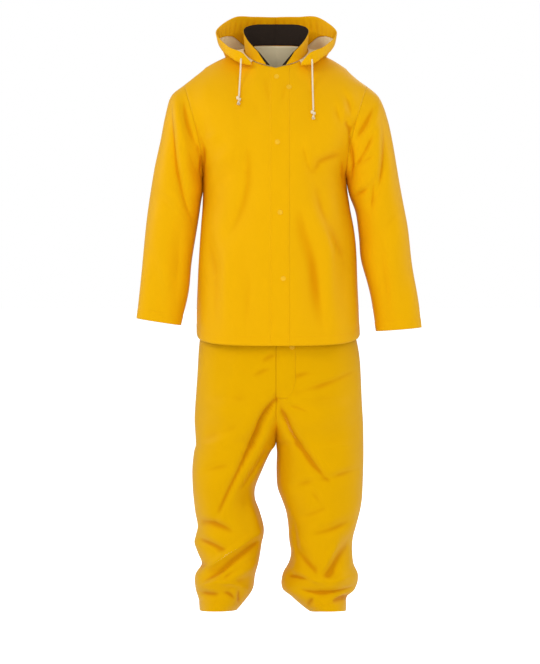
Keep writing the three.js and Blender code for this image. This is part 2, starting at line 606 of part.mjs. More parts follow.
// A strip or facing that follows part of a panel: its grid is moved out along the panel's normals.
function follow(name, panel, rows, columns, distance) {
  const pick = (table) => rows.map((i) => columns.map((j) => table[i][j]));
  const normals = pick(panel.normals);
  const grid = movedOut(pick(panel.grid), normals, distance);
  return { name, grid, normals, turned: panel.turned, shift: panel.shift };
}

// Where a row of points crosses a given distance from the middle, as a share of the row.
function shareAt(curve, x) {
  let [low, high] = [0, 0.7];
  for (let k = 0; k < 24; k++) {
    const middle = (low + high) / 2;
    if (Math.abs(curve(middle).x) < x) low = middle;
    else high = middle;
  }
  return low;
}

// Shares of a row: its centre, the edges of the strips that lie there, then even steps to each stop.
function spread(curve, strips, stops) {
  const shares = [0, ...strips.map((x) => shareAt(curve, x))];
  for (const { upTo, count } of stops) {
    const start = shares.at(-1);
    const left = count - (start < stops[0].upTo ? shares.length - 1 : 0);
    for (const t of steps(left).slice(1)) shares.push(mix(start, upTo, t));
  }
  return shares;
}

// Jacket body
const levels = [...steps(ROWS_BODY), ...steps(ROWS_ARMHOLE).slice(1).map((rise) => 1 + rise)];
const bodyStops = [
  { upTo: NECK_SHARE, count: ACROSS_NECK },
  { upTo: 1, count: ACROSS_SHOULDER },
];

function bodyRow(side, face, level, strips) {
  const curve = (across) => bodyPoint(side, face, level, across);
  return spread(curve, strips, bodyStops).map(curve);
}

const frontRight = {
  name: "jacket_front_right",
  grid: levels.map((level) => bodyRow("right", "front", level, [FLAP.right])),
};
const frontLeft = {
  name: "jacket_front_left",
  grid: levels.map((level) => bodyRow("left", "front", level, [FLAP.left / 2, FLAP.left])),
};
const back = {
  name: "jacket_back",
  grid: levels.map((level) => [
    ...bodyRow("right", "back", level, []).reverse(),
    ...bodyRow("left", "back", level, []).slice(1),
  ]),
};

// Sleeves
const sleeves = ["right", "left"].map((side) => ({
  name: `sleeve_${side}`,
  ring: true,
  shift: vec((side === "left" ? 1 : -1) * SLEEVE_STAND_OFF, 0, 0),
  grid: steps(RINGS_SLEEVE).map((share) =>
    Array.from({ length: 2 * ROWS_ARMHOLE }, (_, k) =>
      ringPoint(side, share * (SLEEVES[side].length - 1), (Math.PI * k) / ROWS_ARMHOLE),
    ),
  ),
}));

pressFolds([frontRight, frontLeft, back, ...sleeves]);
for (const panel of [frontRight, frontLeft, back]) addPanel(panel);
for (const sleeve of sleeves) addPanel(sleeve, YELLOW, WALL, SLEEVE_END_GAP);

// Storm flap: over the first columns of both fronts.
const flapRows = levels.map((_, i) => i);
const flapRight = follow("", frontRight, flapRows, [1], LAY_GAP + FLAP.wall);
const flapLeft = follow("", frontLeft, flapRows, [0, 1, 2], LAY_GAP + FLAP.wall);
const flap = {
  name: "storm_flap",
  grid: flapRight.grid.map((row, i) => [...row, ...flapLeft.grid[i]]),
  normals: flapRight.normals.map((row, i) => [...row, ...flapLeft.normals[i]]),
  turned: frontLeft.turned,
};
const flapMesh = addPanel(flap, YELLOW, FLAP.wall, FLAP_END_GAP);

// Collar, with its facing inside
const bothWays = (count) => [
  ...steps(count).reverse().map((turn) => ["right", turn]),
  ...steps(count).slice(1).map((turn) => ["left", turn]),
];
const collar = {
  name: "collar",
  grid: steps(COLLAR_ROWS).map((share) =>
    bothWays(COLLAR_STEPS).map(([side, turn]) => collarPoint(side, turn, share)),
  ),
};
shareNormals([collar]);
addPanel(collar);
const everyRow = collar.grid.map((_, i) => i);
const everyColumn = collar.grid[0].map((_, j) => j);
const facing = follow("collar_facing", collar, everyRow, everyColumn, -WALL - FACING.gap);
addPanel(facing, DARK_CORD_CLOTH, FACING.wall);

// Hood
const hoods = ["right", "left"].map((side) => ({
  name: `hood_${side}`,
  grid: steps(AROUND_HOOD).map((turn) => steps(PROFILE_HOOD).map((share) => hoodPoint(side, turn, share))),
}));
shareNormals(hoods);
for (const hood of hoods) addPanel(hood);

// Trousers
const legHeights = [
  LEG_STEPS[0].from,
  ...LEG_STEPS.flatMap(({ from, to, rows }) => steps(rows).slice(1).map((share) => mix(from, to, share))),
];
const flyWidth = (z) => mix(FLY.width, FLY.tip, clamp01((z - FLY.taperFrom) / (FLY.bottom - FLY.taperFrom)));

function legRow(side, face, z) {
  const curve = (across) => legPoint(side, face, z, across);
  const even = steps(ACROSS_LEG);
  if (side !== "left" || face !== "front") return even.map(curve);
  const strips = [flyWidth(z) / 2, flyWidth(z)];
  const narrow = spread(curve, strips, [{ upTo: 1, count: ACROSS_LEG }]);
  const release = clamp01((FLY.bottom - z) / FLY_RELEASE);
  return even.map((share, k) => curve(mix(narrow[k], share, release)));
}

const legs = ["right", "left"].flatMap((side) =>
  ["front", "back"].map((face) => ({
    name: `trouser_${face}_${side}`,
    shift: vec((side === "left" ? 1 : -1) * (SEAM_GAP / 2), 0, 0),
    grid: legHeights.map((z) => legRow(side, face, z)),
  })),
);
pressFolds(legs);
for (const panel of legs) addPanel(panel);

const legFrontLeft = legs.find((panel) => panel.name === "trouser_front_left");
const flyRows = legHeights.map((z, i) => (z >= FLY.bottom - 1 ? i : -1)).filter((i) => i >= 0);
const fly = follow("fly_placket", legFrontLeft, flyRows, [0, 1, 2], LAY_GAP + FLY.wall);
const flyMesh = addPanel(fly, YELLOW, FLY.wall);

// Waistband: a ring that follows the trousers' top edge, with the gathers of its elastic.
function waistRow(z) {
  const quarter = (side, face, backwards) =>
    steps(WAISTBAND.steps)
      .slice(0, -1)
      .map((share) => legPoint(side, face, LEG_STEPS[0].from, backwards ? 1 - share : share));
  const ring = [
    ...quarter("right", "front", false),
    ...quarter("right", "back", true),
    ...quarter("left", "back", false),
    ...quarter("left", "front", true),
  ];
  return ring.map((p, k) => {
    const wave = WAISTBAND.gatherDepth * Math.cos((4 * Math.PI * WAISTBAND.gathers * k) / ring.length);
    const outward = vec(p.x, p.y - SIDE_Y, 0).normalize();
    return p.clone().addScaledVector(outward, wave).setZ(z);
  });
}
const waistband = { name: "waistband", ring: true, grid: [WAISTBAND.bottom, WAISTBAND.top].map(waistRow) };
shareNormals([waistband]);
addPanel(waistband, YELLOW, WAISTBAND.wall);

// Press studs: a domed cap on the outside of a strip, found straight behind its place in the front view.
const SNAP_PROFILE = [
  [0, 0],
  [1, 0],
  [1, 0.5],
  [0.75, 0.9],
  [0, 1],
].map(([r, h]) => new THREE.Vector2(r * SNAP.radius, h * SNAP.height));

function addSnap(name, x, z, strip) {
  strip.updateMatrixWorld();
  const from = vec(x, -VIEW_DISTANCE, z);
  const hit = new THREE.Raycaster(from, vec(0, 1, 0)).intersectObject(strip)[0];
  const cap = addMesh(name, new THREE.LatheGeometry(SNAP_PROFILE, SNAP.sides), SNAP_FINISH);
  cap.quaternion.setFromUnitVectors(vec(0, 1, 0), hit.face.normal);
  cap.position.copy(hit.point).addScaledVector(hit.face.normal, SNAP.gap);
}
for (const { name, x, z } of SNAPS) addSnap(name, x, z, flapMesh);
addSnap(FLY_SNAP.name, FLY_SNAP.x, FLY_SNAP.z, flyMesh);

// Drawcords: each leaves the hood's hem at its front corner, hangs on the chest and ends in a knot.
const cordSection = new THREE.Shape(
  Array.from({ length: CORD_SIDES }, (_, k) => {
    const angle = (2 * Math.PI * k) / CORD_SIDES;
    return new THREE.Vector2(Math.cos(angle), Math.sin(angle)).multiplyScalar(CORD_DIAMETER / 2);
  }),
);
const knotProfile = [
  [0, 0],
  [CORD_DIAMETER / 2, 0],
  [KNOT.radius, KNOT.length * 0.35],
  [KNOT.radius, KNOT.length * 0.65],
  [CORD_DIAMETER / 2, KNOT.length],
  [KNOT.tailRadius, KNOT.length + KNOT.tail],
  [0, KNOT.length + KNOT.tail],
].map(([r, h]) => new THREE.Vector2(r, h));

for (const [side, route] of Object.entries(CORD_ROUTES)) {
  const path = new THREE.CatmullRomCurve3(route.map(([x, y, z]) => vec(x, y, z)));
  const rings = Math.round(path.getLength() / (2.5 * CORD_DIAMETER));
  const tube = new THREE.ExtrudeGeometry(cordSection, { steps: rings, extrudePath: path });
  addMesh(`drawcord_${side}`, tube, WHITE_CORD);
  const knotShape = new THREE.LatheGeometry(knotProfile, KNOT.sides);
  const knot = addMesh(`drawcord_knot_${side}`, knotShape, WHITE_CORD);
  const end = path.getPoint(1);
  const down = path.getTangent(1);
  knot.quaternion.setFromUnitVectors(vec(0, 1, 0), down);
  knot.position.copy(end).addScaledVector(down, KNOT.gap);
}

export default suit;
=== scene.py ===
# %% [markdown]
# # A two-piece rain suit
#
# The suit is a hooded jacket over loose trousers, both of bright yellow coated cloth. It keeps the shape
# that it has when worn, but it is hollow. This lesson makes the whole suit from functions of two
# parameters: each panel is a grid of points worked out with numpy, then bent by creases, then given the
# thickness of the cloth. The solids in the frame give every size, so this file repeats their tables.

# %% Start from the frame
import math

import bpy
import numpy as np
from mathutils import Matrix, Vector


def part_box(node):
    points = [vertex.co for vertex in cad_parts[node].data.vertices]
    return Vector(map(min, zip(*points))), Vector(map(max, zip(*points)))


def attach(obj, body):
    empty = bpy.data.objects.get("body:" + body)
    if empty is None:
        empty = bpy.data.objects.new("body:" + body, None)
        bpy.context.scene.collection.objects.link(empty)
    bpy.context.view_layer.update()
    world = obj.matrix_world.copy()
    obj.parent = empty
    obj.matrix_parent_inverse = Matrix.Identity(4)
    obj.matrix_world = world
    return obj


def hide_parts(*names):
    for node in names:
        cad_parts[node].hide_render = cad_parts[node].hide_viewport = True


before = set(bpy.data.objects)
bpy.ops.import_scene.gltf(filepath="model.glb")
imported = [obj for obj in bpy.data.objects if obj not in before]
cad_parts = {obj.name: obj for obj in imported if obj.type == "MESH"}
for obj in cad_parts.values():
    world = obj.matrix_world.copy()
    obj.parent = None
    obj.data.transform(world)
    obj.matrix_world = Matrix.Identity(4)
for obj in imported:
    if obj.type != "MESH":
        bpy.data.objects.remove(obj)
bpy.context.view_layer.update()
MM = 0.001
print("frame nodes:", len(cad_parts))

# %% [markdown]
# ## The camera
#
# The suit is seen from the front, from about five metres, at the height of the jacket's lower half. A long
# lens keeps the legs as wide as they are. The camera comes first, because the creases are placed in its
# view and the cords are measured there.

# %% Camera
VIEW_DISTANCE = 5000.0  # millimetres, as everything in this file until it becomes a mesh
VIEW_HEIGHT = -514.0
VIEW_SIDE = -15.9
VIEW_CENTRE = -705.0  # height of the picture's centre
VIEW_FRAME = 1759.6  # height that the picture spans at the suit


def make_camera():
    """A camera that looks at the picture's centre; its lens makes the frame span VIEW_FRAME there."""
    data = bpy.data.cameras.new("front_view")
    camera = bpy.data.objects.new("front_view", data)
    bpy.context.scene.collection.objects.link(camera)
    drop = VIEW_HEIGHT - VIEW_CENTRE
    camera.location = (VIEW_SIDE * MM, -VIEW_DISTANCE * MM, VIEW_HEIGHT * MM)
    camera.rotation_euler = (math.pi / 2 - math.atan2(drop, VIEW_DISTANCE), 0, 0)
    data.sensor_fit = "VERTICAL"
    data.sensor_height = 24
    data.lens = data.sensor_height * math.hypot(VIEW_DISTANCE, drop) / VIEW_FRAME
    data.clip_end = 40
    bpy.context.scene.camera = camera
    return camera


camera = make_camera()
print("lens", round(camera.data.lens, 1), "mm")

# %% [markdown]
# ## Meshes from grids
#
# A grid of points becomes a thin shell: the grid is the outside, a second grid lies a cloth's thickness
# behind it, and a narrow rim joins their edges. Making both layers here, and not with a modifier, keeps the
# rim's faces flat, so the cut edge of the cloth stays crisp beside its smooth sides.


# %% Mesh helpers
def vec(x, y, z):
    """Three arrays, or numbers, joined into one array of points."""
    return np.stack(np.broadcast_arrays(x, y, z), axis=-1).astype(float)


def mix(a, b, t):
    """The point at share t between a and b: a plus t times their difference."""
    return a + (b - a) * t


def unit(v):
    """Vectors divided by their own lengths."""
    return v / np.maximum(np.linalg.norm(v, axis=-1, keepdims=True), 1e-12)


def bump_of(distance, width):
    """A bell that is 1 at no distance and falls to 0.37 at width: e to the minus square of their ratio."""
    return np.exp(-((distance / width) ** 2))


def smooth_step(t):
    """0 below 0, 1 above 1, and an S between: 3 t squared minus 2 t cubed."""
    t = np.clip(t, 0, 1)
    return t * t * (3 - 2 * t)


def closed(grid):
    """The grid with its first column again after its last, for a ring."""
    return np.concatenate([grid, grid[:, :1]], axis=1)


def quads(table):
    """The four corners of each cell of a grid, in order round the cell."""
    return np.stack([table[:-1, :-1], table[1:, :-1], table[1:, 1:], table[:-1, 1:]], axis=2)


def cell_normals(grid):
    """A vector square to each cell, as long as twice its area: the cross product of its diagonals."""
    return np.cross(grid[1:, 1:] - grid[:-1, :-1], grid[:-1, 1:] - grid[1:, :-1])


def view_uv(points, faces):
    """Texture coordinates in metres for small parts: the front view of each corner."""
    corner = points[faces]
    return np.stack([corner[..., 0], corner[..., 2]], axis=-1) * MM


def make_object(name, points, faces, materials, slots=None, uv=None, flat=None):
    """A mesh object from points in millimetres and faces of four corners."""
    mesh = bpy.data.meshes.new(name)
    mesh.from_pydata((np.asarray(points) * MM).tolist(), [], np.asarray(faces).tolist())
    smooth = np.ones(len(mesh.polygons), bool)
    if flat is not None:
        smooth[flat] = False
    mesh.polygons.foreach_set("use_smooth", smooth)
    if slots is not None:
        mesh.polygons.foreach_set("material_index", np.asarray(slots, np.int32))
    if uv is not None:
        layer = mesh.uv_layers.new(name="cut")
        layer.data.foreach_set("uv", np.asarray(uv, np.float32).ravel())
    for material in materials:
        mesh.materials.append(material)
    mesh.update()
    obj = bpy.data.objects.new(name, mesh)
    bpy.context.scene.collection.objects.link(obj)
    return obj


def lengths_across(grid):
    """Distance of each point from the first of its row, along the row."""
    step = np.linalg.norm(np.diff(grid, axis=1), axis=-1)
    return np.concatenate([np.zeros((len(grid), 1)), np.cumsum(step, axis=1)], axis=1)


def lengths_along(grid):
    """Distance of each point from the first of its column, along the column."""
    step = np.linalg.norm(np.diff(grid, axis=0), axis=-1)
    return np.concatenate([np.zeros((1, grid.shape[1])), np.cumsum(step, axis=0)], axis=0)


def make_shell(name, grid, normals, thickness, materials, ring=False, turned=False):
    """A shell: the grid outside, the same grid moved in along the normals inside, and a rim between."""
    rows, columns = grid.shape[:2]
    wide = columns if ring else columns - 1
    inner = grid - normals * thickness
    points = np.concatenate([grid.reshape(-1, 3), inner.reshape(-1, 3)])
    at = np.arange(rows * columns).reshape(rows, columns)
    at = closed(at) if ring else at
    span = closed(grid) if ring else grid
    uv_at = np.stack([lengths_across(span), lengths_along(span)], axis=-1) * MM

    def strip(line):
        lower, upper = line[:-1], line[1:]
        return np.stack([lower, upper, upper + rows * columns, lower + rows * columns], axis=1)

    def strip_uv(line):
        return np.stack([line[:-1], line[1:], line[1:], line[:-1]], axis=1)

    outer = quads(at).reshape(-1, 4)
    outer_uv = quads(uv_at).reshape(-1, 4, 2)
    back = outer[:, ::-1] + rows * columns
    edges = [(at[0], uv_at[0]), (at[-1][::-1], uv_at[-1][::-1])]
    if not ring:
        edges += [(at[::-1, 0], uv_at[::-1, 0]), (at[:, -1], uv_at[:, -1])]
    rim = np.concatenate([strip(line) for line, _ in edges])
    rim_uv = np.concatenate([strip_uv(line) for _, line in edges])
    faces = np.concatenate([outer, back, rim])
    uv = np.concatenate([outer_uv, outer_uv[:, ::-1], rim_uv])
    if turned:
        faces, uv = faces[:, ::-1], uv[:, ::-1]
    count = (rows - 1) * wide
    slots = np.zeros(len(faces), int)
    slots[count : 2 * count] = 1 if len(materials) > 1 else 0
    flat = np.arange(2 * count, len(faces))
    return make_object(name, points, faces, materials, slots, uv, flat)


def keep(obj, nodes=()):
    """Puts a piece on the suit's one body and hides the solids that it stands for."""
    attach(obj, "root")
    if nodes:
        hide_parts(*nodes)
    return obj


# %% [markdown]
# ## Tables
#
# A garment is drafted from a few measurements at a few heights. Each table below has named columns and one
# row for each height, ring or angle, and `read` draws a smooth curve through a column.


# %% Table helpers
def table(names, *rows):
    """A dictionary of columns; the first name is the key, and the rows may run either way."""
    values = np.array(rows, float)
    if values[0, 0] > values[-1, 0]:
        values = values[::-1]
    columns = {name: values[:, k] for k, name in enumerate(names.split())}
    columns["key"] = values[:, 0]
    return columns


def read(columns, name, at):
    """A column's value at keys `at`: a cubic between rows, its slope at a row taken from its neighbours."""
    keys, values = columns["key"], columns[name]
    before = np.clip(np.arange(len(keys)) - 1, 0, None)
    after = np.clip(np.arange(len(keys)) + 1, None, len(keys) - 1)
    slopes = (values[after] - values[before]) / (keys[after] - keys[before])
    at = np.clip(np.asarray(at, float), keys[0], keys[-1])
    i = np.clip(np.searchsorted(keys, at, side="right") - 1, 0, len(keys) - 2)
    span = keys[i + 1] - keys[i]
    t = (at - keys[i]) / span
    t2, t3 = t * t, t * t * t
    return (
        (2 * t3 - 3 * t2 + 1) * values[i]
        + (t3 - 2 * t2 + t) * span * slopes[i]
        + (3 * t2 - 2 * t3) * values[i + 1]
        + (t3 - t2) * span * slopes[i + 1]
    )


def cubic(a, pull_a, b, pull_b, t):
    """A cubic curve that leaves a along pull_a and reaches b along pull_b, at shares t."""
    t = np.asarray(t, float)[..., None]
    s = 1 - t
    return (
        a * (s**3 + 3 * s * s * t)
        + pull_a * (3 * s * s * t)
        + b * (3 * s * t * t + t**3)
        - pull_b * (3 * s * t * t)
    )


SIDE_SIGN = {"right": -1, "left": 1}
FACE_SIGN = {"front": -1, "back": 1}

# %% The suit's tables, in millimetres
HEM_Z = -735
HEM_SIDE_RISE = 30
ARMPIT_Z = -290
SIDE_Y = 4
NECK_SHARE = 0.4
SHOULDER_RISE = 11
ARMHOLE_SCOOP = 13
SECTION_POWER = 2.2

BODY = table(
    "z right left front back square",
    (-729, 209, 221, 158, 142, 0.74),
    (-640, 208, 220, 158, 142, 0.70),
    (-540, 206, 214, 155, 140, 0.66),
    (-440, 200, 206, 152, 141, 0.62),
    (-370, 193, 195, 150, 144, 0.60),
    (-325, 189, 185, 149, 146, 0.58),
    (-290, 192, 184, 148, 148, 0.58),
)
CENTRE = {
    "front": table("rise y z", (0, -148, -290), (0.35, -137, -185), (0.7, -108, -85), (1, -79, -16)),
    "back": table("rise y z", (0, 148, -290), (0.35, 141, -165), (0.7, 116, -35), (1, 78, 58)),
}
NECK = table(
    "turn x y z",
    (0, 0, 78, 58),
    (0.2, 44, 66, 56),
    (0.36, 70, 40, 50),
    (0.5, 81, 6, 40),
    (0.66, 77, -30, 22),
    (0.82, 54, -63, 1),
    (1, 0, -79, -16),
)
SLEEVES = {
    "right": table(
        "ring out_x out_z under_x under_z depth mid_y",
        (0, 247, -49, 192, -290, 84, 4),
        (1, 265, -61, 198, -299, 88, 4),
        (2, 280, -89, 200, -311, 91, 5),
        (3, 292, -140, 201, -327, 93, 6),
        (4, 303, -196, 202, -348, 93, 7),
        (5, 322, -276, 204, -392, 90, 8),
        (6, 337, -371, 211, -447, 84, 8),
        (7, 350, -482, 222, -520, 75, 4),
        (8, 360, -585, 231, -600, 62, -4),
        (9, 368, -668, 252, -686, 47, -12),
    ),
    "left": table(
        "ring out_x out_z under_x under_z depth mid_y",
        (0, 245, -53, 184, -290, 84, 4),
        (1, 262, -65, 191, -303, 88, 4),
        (2, 276, -91, 194, -318, 91, 5),
        (3, 290, -130, 197, -335, 93, 6),
        (4, 305, -190, 201, -356, 93, 7),
        (5, 326, -300, 213, -396, 90, 8),
        (6, 344, -408, 222, -455, 84, 8),
        (7, 358, -500, 227, -522, 75, 4),
        (8, 374, -606, 251, -614, 62, -4),
        (9, 384, -692, 265, -702, 47, -12),
    ),
}
LEG_SECTIONS = table(
    "z front back tuck turn",
    (-545, 108, 108, 0, 0),
    (-640, 122, 126, 0, 0),
    (-740, 132, 136, 0, 0),
    (-810, 133, 138, 0, 0),
    (-868, 130, 136, 0.02, 8),
    (-905, 128, 134, 0.14, 36),
    (-945, 124, 130, 0.38, 66),
    (-980, 122, 127, 0.7, 84),
    (-1002, 121, 126, 1, 90),
    (-1080, 119, 122, 1, 90),
    (-1150, 112, 115, 1, 90),
    (-1250, 103, 107, 1, 90),
    (-1350, 101, 103, 1, 90),
    (-1446, 96, 90, 1, 90),
)
LEG_HEM_FROM = -1340
LEG_HEM_RISE = 12
LEG_OUTLINE = {
    "right": table(
        "z inner outer",
        (-545, 0, 162),
        (-640, 0, 186),
        (-725, 0, 202),
        (-800, 0, 209),
        (-928, 0, 215),
        (-1002, 0, 212),
        (-1023, 13, 217),
        (-1071, 36, 223),
        (-1118, 56, 223),
        (-1150, 57, 220),
        (-1182, 45, 215),
        (-1222, 33, 207),
        (-1246, 33, 212),
        (-1265, 37, 216),
        (-1293, 41, 207),
        (-1322, 46, 198),
        (-1352, 54, 216),
        (-1389, 61, 216),
        (-1420, 82, 207),
        (-1446, 104, 204),
    ),
    "left": table(
        "z inner outer",
        (-545, 0, 166),
        (-640, 0, 190),
        (-725, 0, 212),
        (-800, 0, 223),
        (-928, 0, 231),
        (-1002, 0, 231),
        (-1023, 2, 231),
        (-1071, 2, 231),
        (-1118, 5, 231),
        (-1150, 16, 230),
        (-1182, 27, 225),
        (-1222, 33, 214),
        (-1246, 34, 207),
        (-1265, 36, 204),
        (-1293, 40, 203),
        (-1322, 34, 206),
        (-1352, 18, 217),
        (-1389, 18, 210),
        (-1410, 42, 190),
        (-1446, 88, 186),
    ),
}
HOOD = table(
    "turn low_out low_drop high_out high_drop rim_x rim_y rim_z",
    (0, 150, 285, 120, 250, 0, 128, 140),
    (0.2, 140, 250, 90, 215, 58, 114, 139),
    (0.4, 98, 128, 15, 130, 112, 78, 133),
    (0.6, 58, 12, -12, 62, 160, 18, 88),
    (0.8, 58, 2, 4, 34, 128, -54, 42),
    (0.92, 38, 22, 6, 38, 88, -84, 21),
    (1, 12, 8, -4, 16, 65, -86, -4),
)
HOOD_CLEAR = 3.2
HOOD_FRONT = 0.2
COLLAR_TOP = table(
    "turn x y z",
    (0, 0, 84, 116),
    (0.25, 60, 64, 112),
    (0.5, 86, 14, 94),
    (0.75, 76, -42, 62),
    (0.9, 58, -72, 37),
    (1, 45, -86, 22),
)
COLLAR_LIFT = 1
COLLAR_END = 0.95

# %% [markdown]
# ## Surfaces
#
# Every panel of the body and legs is a family of cubic curves that run from the garment's centre to its
# side. A curve that leaves the centre flat and arrives at the side seam pointing backwards makes the soft
# squared section of a loose coat. Above the armpit the same rows end on the armhole, which is the first
# ring of the sleeve, so the two meet.


# %% Surface functions
CENTRE_FALL, SIDE_FALL = 0.65, 1.4  # slope of a body row at its centre and its side, in shares of its fall
TOP_PULL = 0.36  # both pulls of a row at the shoulder, as a share of its width
SIDE_PULL = 0.6  # pull of a row at the hem's side, as a share of the depth
LEG_CENTRE_PULL, LEG_SIDE_PULL = 0.6, 0.62  # the same for the trousers above the crotch
TUBE_PULL = 1.32  # below the crotch: 4/3 of the depth would close each leg to an ellipse
TUCK_EASE = 0.16  # how much the pull weakens where the front turns under the crotch


def squared(value):
    """Keeps the sign and raises the size to 2 over SECTION_POWER: turns an ellipse into a squarer one."""
    return np.sign(value) * np.abs(value) ** (2 / SECTION_POWER)


def table_point(columns, side, at, prefix=""):
    """A point from a table's x, y and z columns, mirrored for the wearer's right."""
    x, y, z = (read(columns, prefix + axis, at) for axis in "xyz")
    return vec(SIDE_SIGN[side] * x, y, z)


def ring_point(side, ring, angle):
    """A point of a sleeve's ring; angle 0 is the outside of the arm, and it turns by the front."""
    rings = SLEEVES[side]
    along, forward = squared(np.cos(angle)), squared(np.sin(angle))
    scoop = ARMHOLE_SCOOP * np.sin(angle) ** 2 * np.clip(1 - ring / 2, 0, 1)
    share = (along + 1) / 2
    x = mix(read(rings, "under_x", ring), read(rings, "out_x", ring), share) - scoop
    z = mix(read(rings, "under_z", ring), read(rings, "out_z", ring), share)
    y = read(rings, "mid_y", ring) - read(rings, "depth", ring) * forward
    return vec(SIDE_SIGN[side] * x, y, z)


def body_curve(side, face, level, across):
    """A row of the jacket, its top edge not yet shaped: level 0 is the hem, 1 the armpit, 2 the shoulder."""
    out, forward = SIDE_SIGN[side], FACE_SIGN[face]
    rise = np.maximum(0, level - 1)
    z = mix(HEM_Z, ARMPIT_Z, np.minimum(1, level))
    low = (level <= 1)[..., None]
    depth = read(BODY, face, z)
    inner_low = vec(0, forward * depth, z)
    inner_high = vec(0, read(CENTRE[face], "y", rise), read(CENTRE[face], "z", rise))
    outer_low = vec(out * read(BODY, side, z), SIDE_Y, z)
    outer_high = ring_point(side, 0, -forward * np.pi * (1 - rise))
    inner = np.where(low, inner_low, inner_high)
    outer = np.where(low, outer_low, outer_high)
    width = np.abs(outer[..., 0] - inner[..., 0])
    fall = (outer[..., 2] - inner[..., 2]) / width
    swing = np.pi / 2 * (1 - rise)
    pull_in = vec(out, 0, CENTRE_FALL * fall)
    pull_in = pull_in * (mix(read(BODY, "square", z), TOP_PULL, rise) * width)[..., None]
    pull_out = vec(out * np.cos(swing), -forward * np.sin(swing), SIDE_FALL * fall * np.cos(swing))
    pull_out = pull_out * mix(SIDE_PULL * depth, TOP_PULL * width, rise)[..., None]
    return cubic(inner, pull_in, outer, pull_out, across)


def neck_point(side, turn):
    """A point of the neckline, from the back of the neck (turn 0) round the side to the throat (1)."""
    return table_point(NECK, side, turn)


def top_point(side, face, across):
    """The panel's top edge: a quarter of the neckline, then the straight shoulder seam."""
    half = np.minimum(1, across / NECK_SHARE) / 2
    on_neck = neck_point(side, 1 - half if face == "front" else half)
    along = np.clip((across - NECK_SHARE) / (1 - NECK_SHARE), 0, 1)[..., None]
    on_shoulder = mix(neck_point(side, 0.5), ring_point(side, 0.0, 0.0), along)
    on_shoulder = on_shoulder + np.sin(np.pi * along) * (0, 0, SHOULDER_RISE)
    return np.where((across <= NECK_SHARE)[..., None], on_neck, on_shoulder)


def body_point(side, face, level, across):
    """A point of the jacket: its row's curve, the hem's rise at the sides, and the shaped top edge."""
    level, across = np.broadcast_arrays(np.asarray(level, float), np.asarray(across, float))
    points = body_curve(side, face, level, across)
    points[..., 2] += HEM_SIDE_RISE * np.clip(1 - level, 0, 1) ** 2 * across**3
    top = top_point(side, face, across) - body_curve(side, face, np.full_like(level, 2), across)
    return points + top * np.maximum(0, level - 1)[..., None] ** 3


def leg_point(side, face, z, across):
    """A point of a trouser panel at height z, from the centre seam or inseam (0) to the side seam (1)."""
    z, across = np.broadcast_arrays(np.asarray(z, float), np.asarray(across, float))
    out, forward = SIDE_SIGN[side], FACE_SIGN[face]
    depth = read(LEG_SECTIONS, face, z)
    tuck = np.clip(read(LEG_SECTIONS, "tuck", z), 0, 1)
    turn = np.radians(np.clip(read(LEG_SECTIONS, "turn", z), 0, 90))
    wide = read(LEG_OUTLINE[side], "outer", z)
    near = np.maximum(0, read(LEG_OUTLINE[side], "inner", z))
    hem = np.clip((z - LEG_HEM_FROM) / (LEG_SECTIONS["key"][0] - LEG_HEM_FROM), 0, 1)
    inner = vec(out * near, SIDE_Y + forward * depth * (1 - tuck), z)
    outer = vec(out * wide, SIDE_Y, z)
    reach = mix(LEG_CENTRE_PULL * wide, TUBE_PULL * depth, tuck) * (1 - TUCK_EASE * np.sin(np.pi * tuck))
    pull_in = vec(out * np.cos(turn), forward * np.sin(turn), 0) * reach[..., None]
    pull_out = vec(0, -forward * mix(LEG_SIDE_PULL * depth, TUBE_PULL * depth, tuck), 0)
    points = cubic(inner, pull_in, outer, pull_out, across)
    if face == "front":
        points[..., 2] += LEG_HEM_RISE * hem * np.sin(np.pi * across)
    return points


def hood_point(side, turn, share):
    """A point of the hood: each profile leaves the neck seam, hangs as a pouch and rises to the rim."""
    turn, share = np.broadcast_arrays(np.asarray(turn, float), np.asarray(share, float))
    neck = neck_point(side, turn * (1 - HOOD_FRONT))
    outward = unit(neck * (1, 1, 0))
    base = neck + outward * HOOD_CLEAR + (0, 0, 1)
    rim = table_point(HOOD, side, turn, "rim_")
    up = np.array((0.0, 0.0, 1.0))

    def pull(direction, name):
        return direction * read(HOOD, name, turn)[..., None]

    low = pull(outward, "low_out") - pull(up, "low_drop")
    high = pull(up, "high_drop") - pull(unit(rim * (1, 1, 0)), "high_out")
    return cubic(base, low, rim, high, share)


def collar_point(side, turn, share):
    """A point of the collar, straight from its foot on the neckline to its top edge."""
    foot = neck_point(side, turn * COLLAR_END) + (0, 0, COLLAR_LIFT)
    top = table_point(COLLAR_TOP, side, turn)
    return mix(foot, top, np.asarray(share, float)[..., None])


# %% [markdown]
# ## Creases
#
# Coated cloth doesn't fall in many fine folds like a soft shirt. It bends in a few long troughs, each with
# a sharper line along its bottom and a swelling beside it. A crease here is one bowed line in the front
# or back view. Its height above the cloth is worked out for all points of a panel at once, and the panel
# moves by the sum of all creases along its normals.

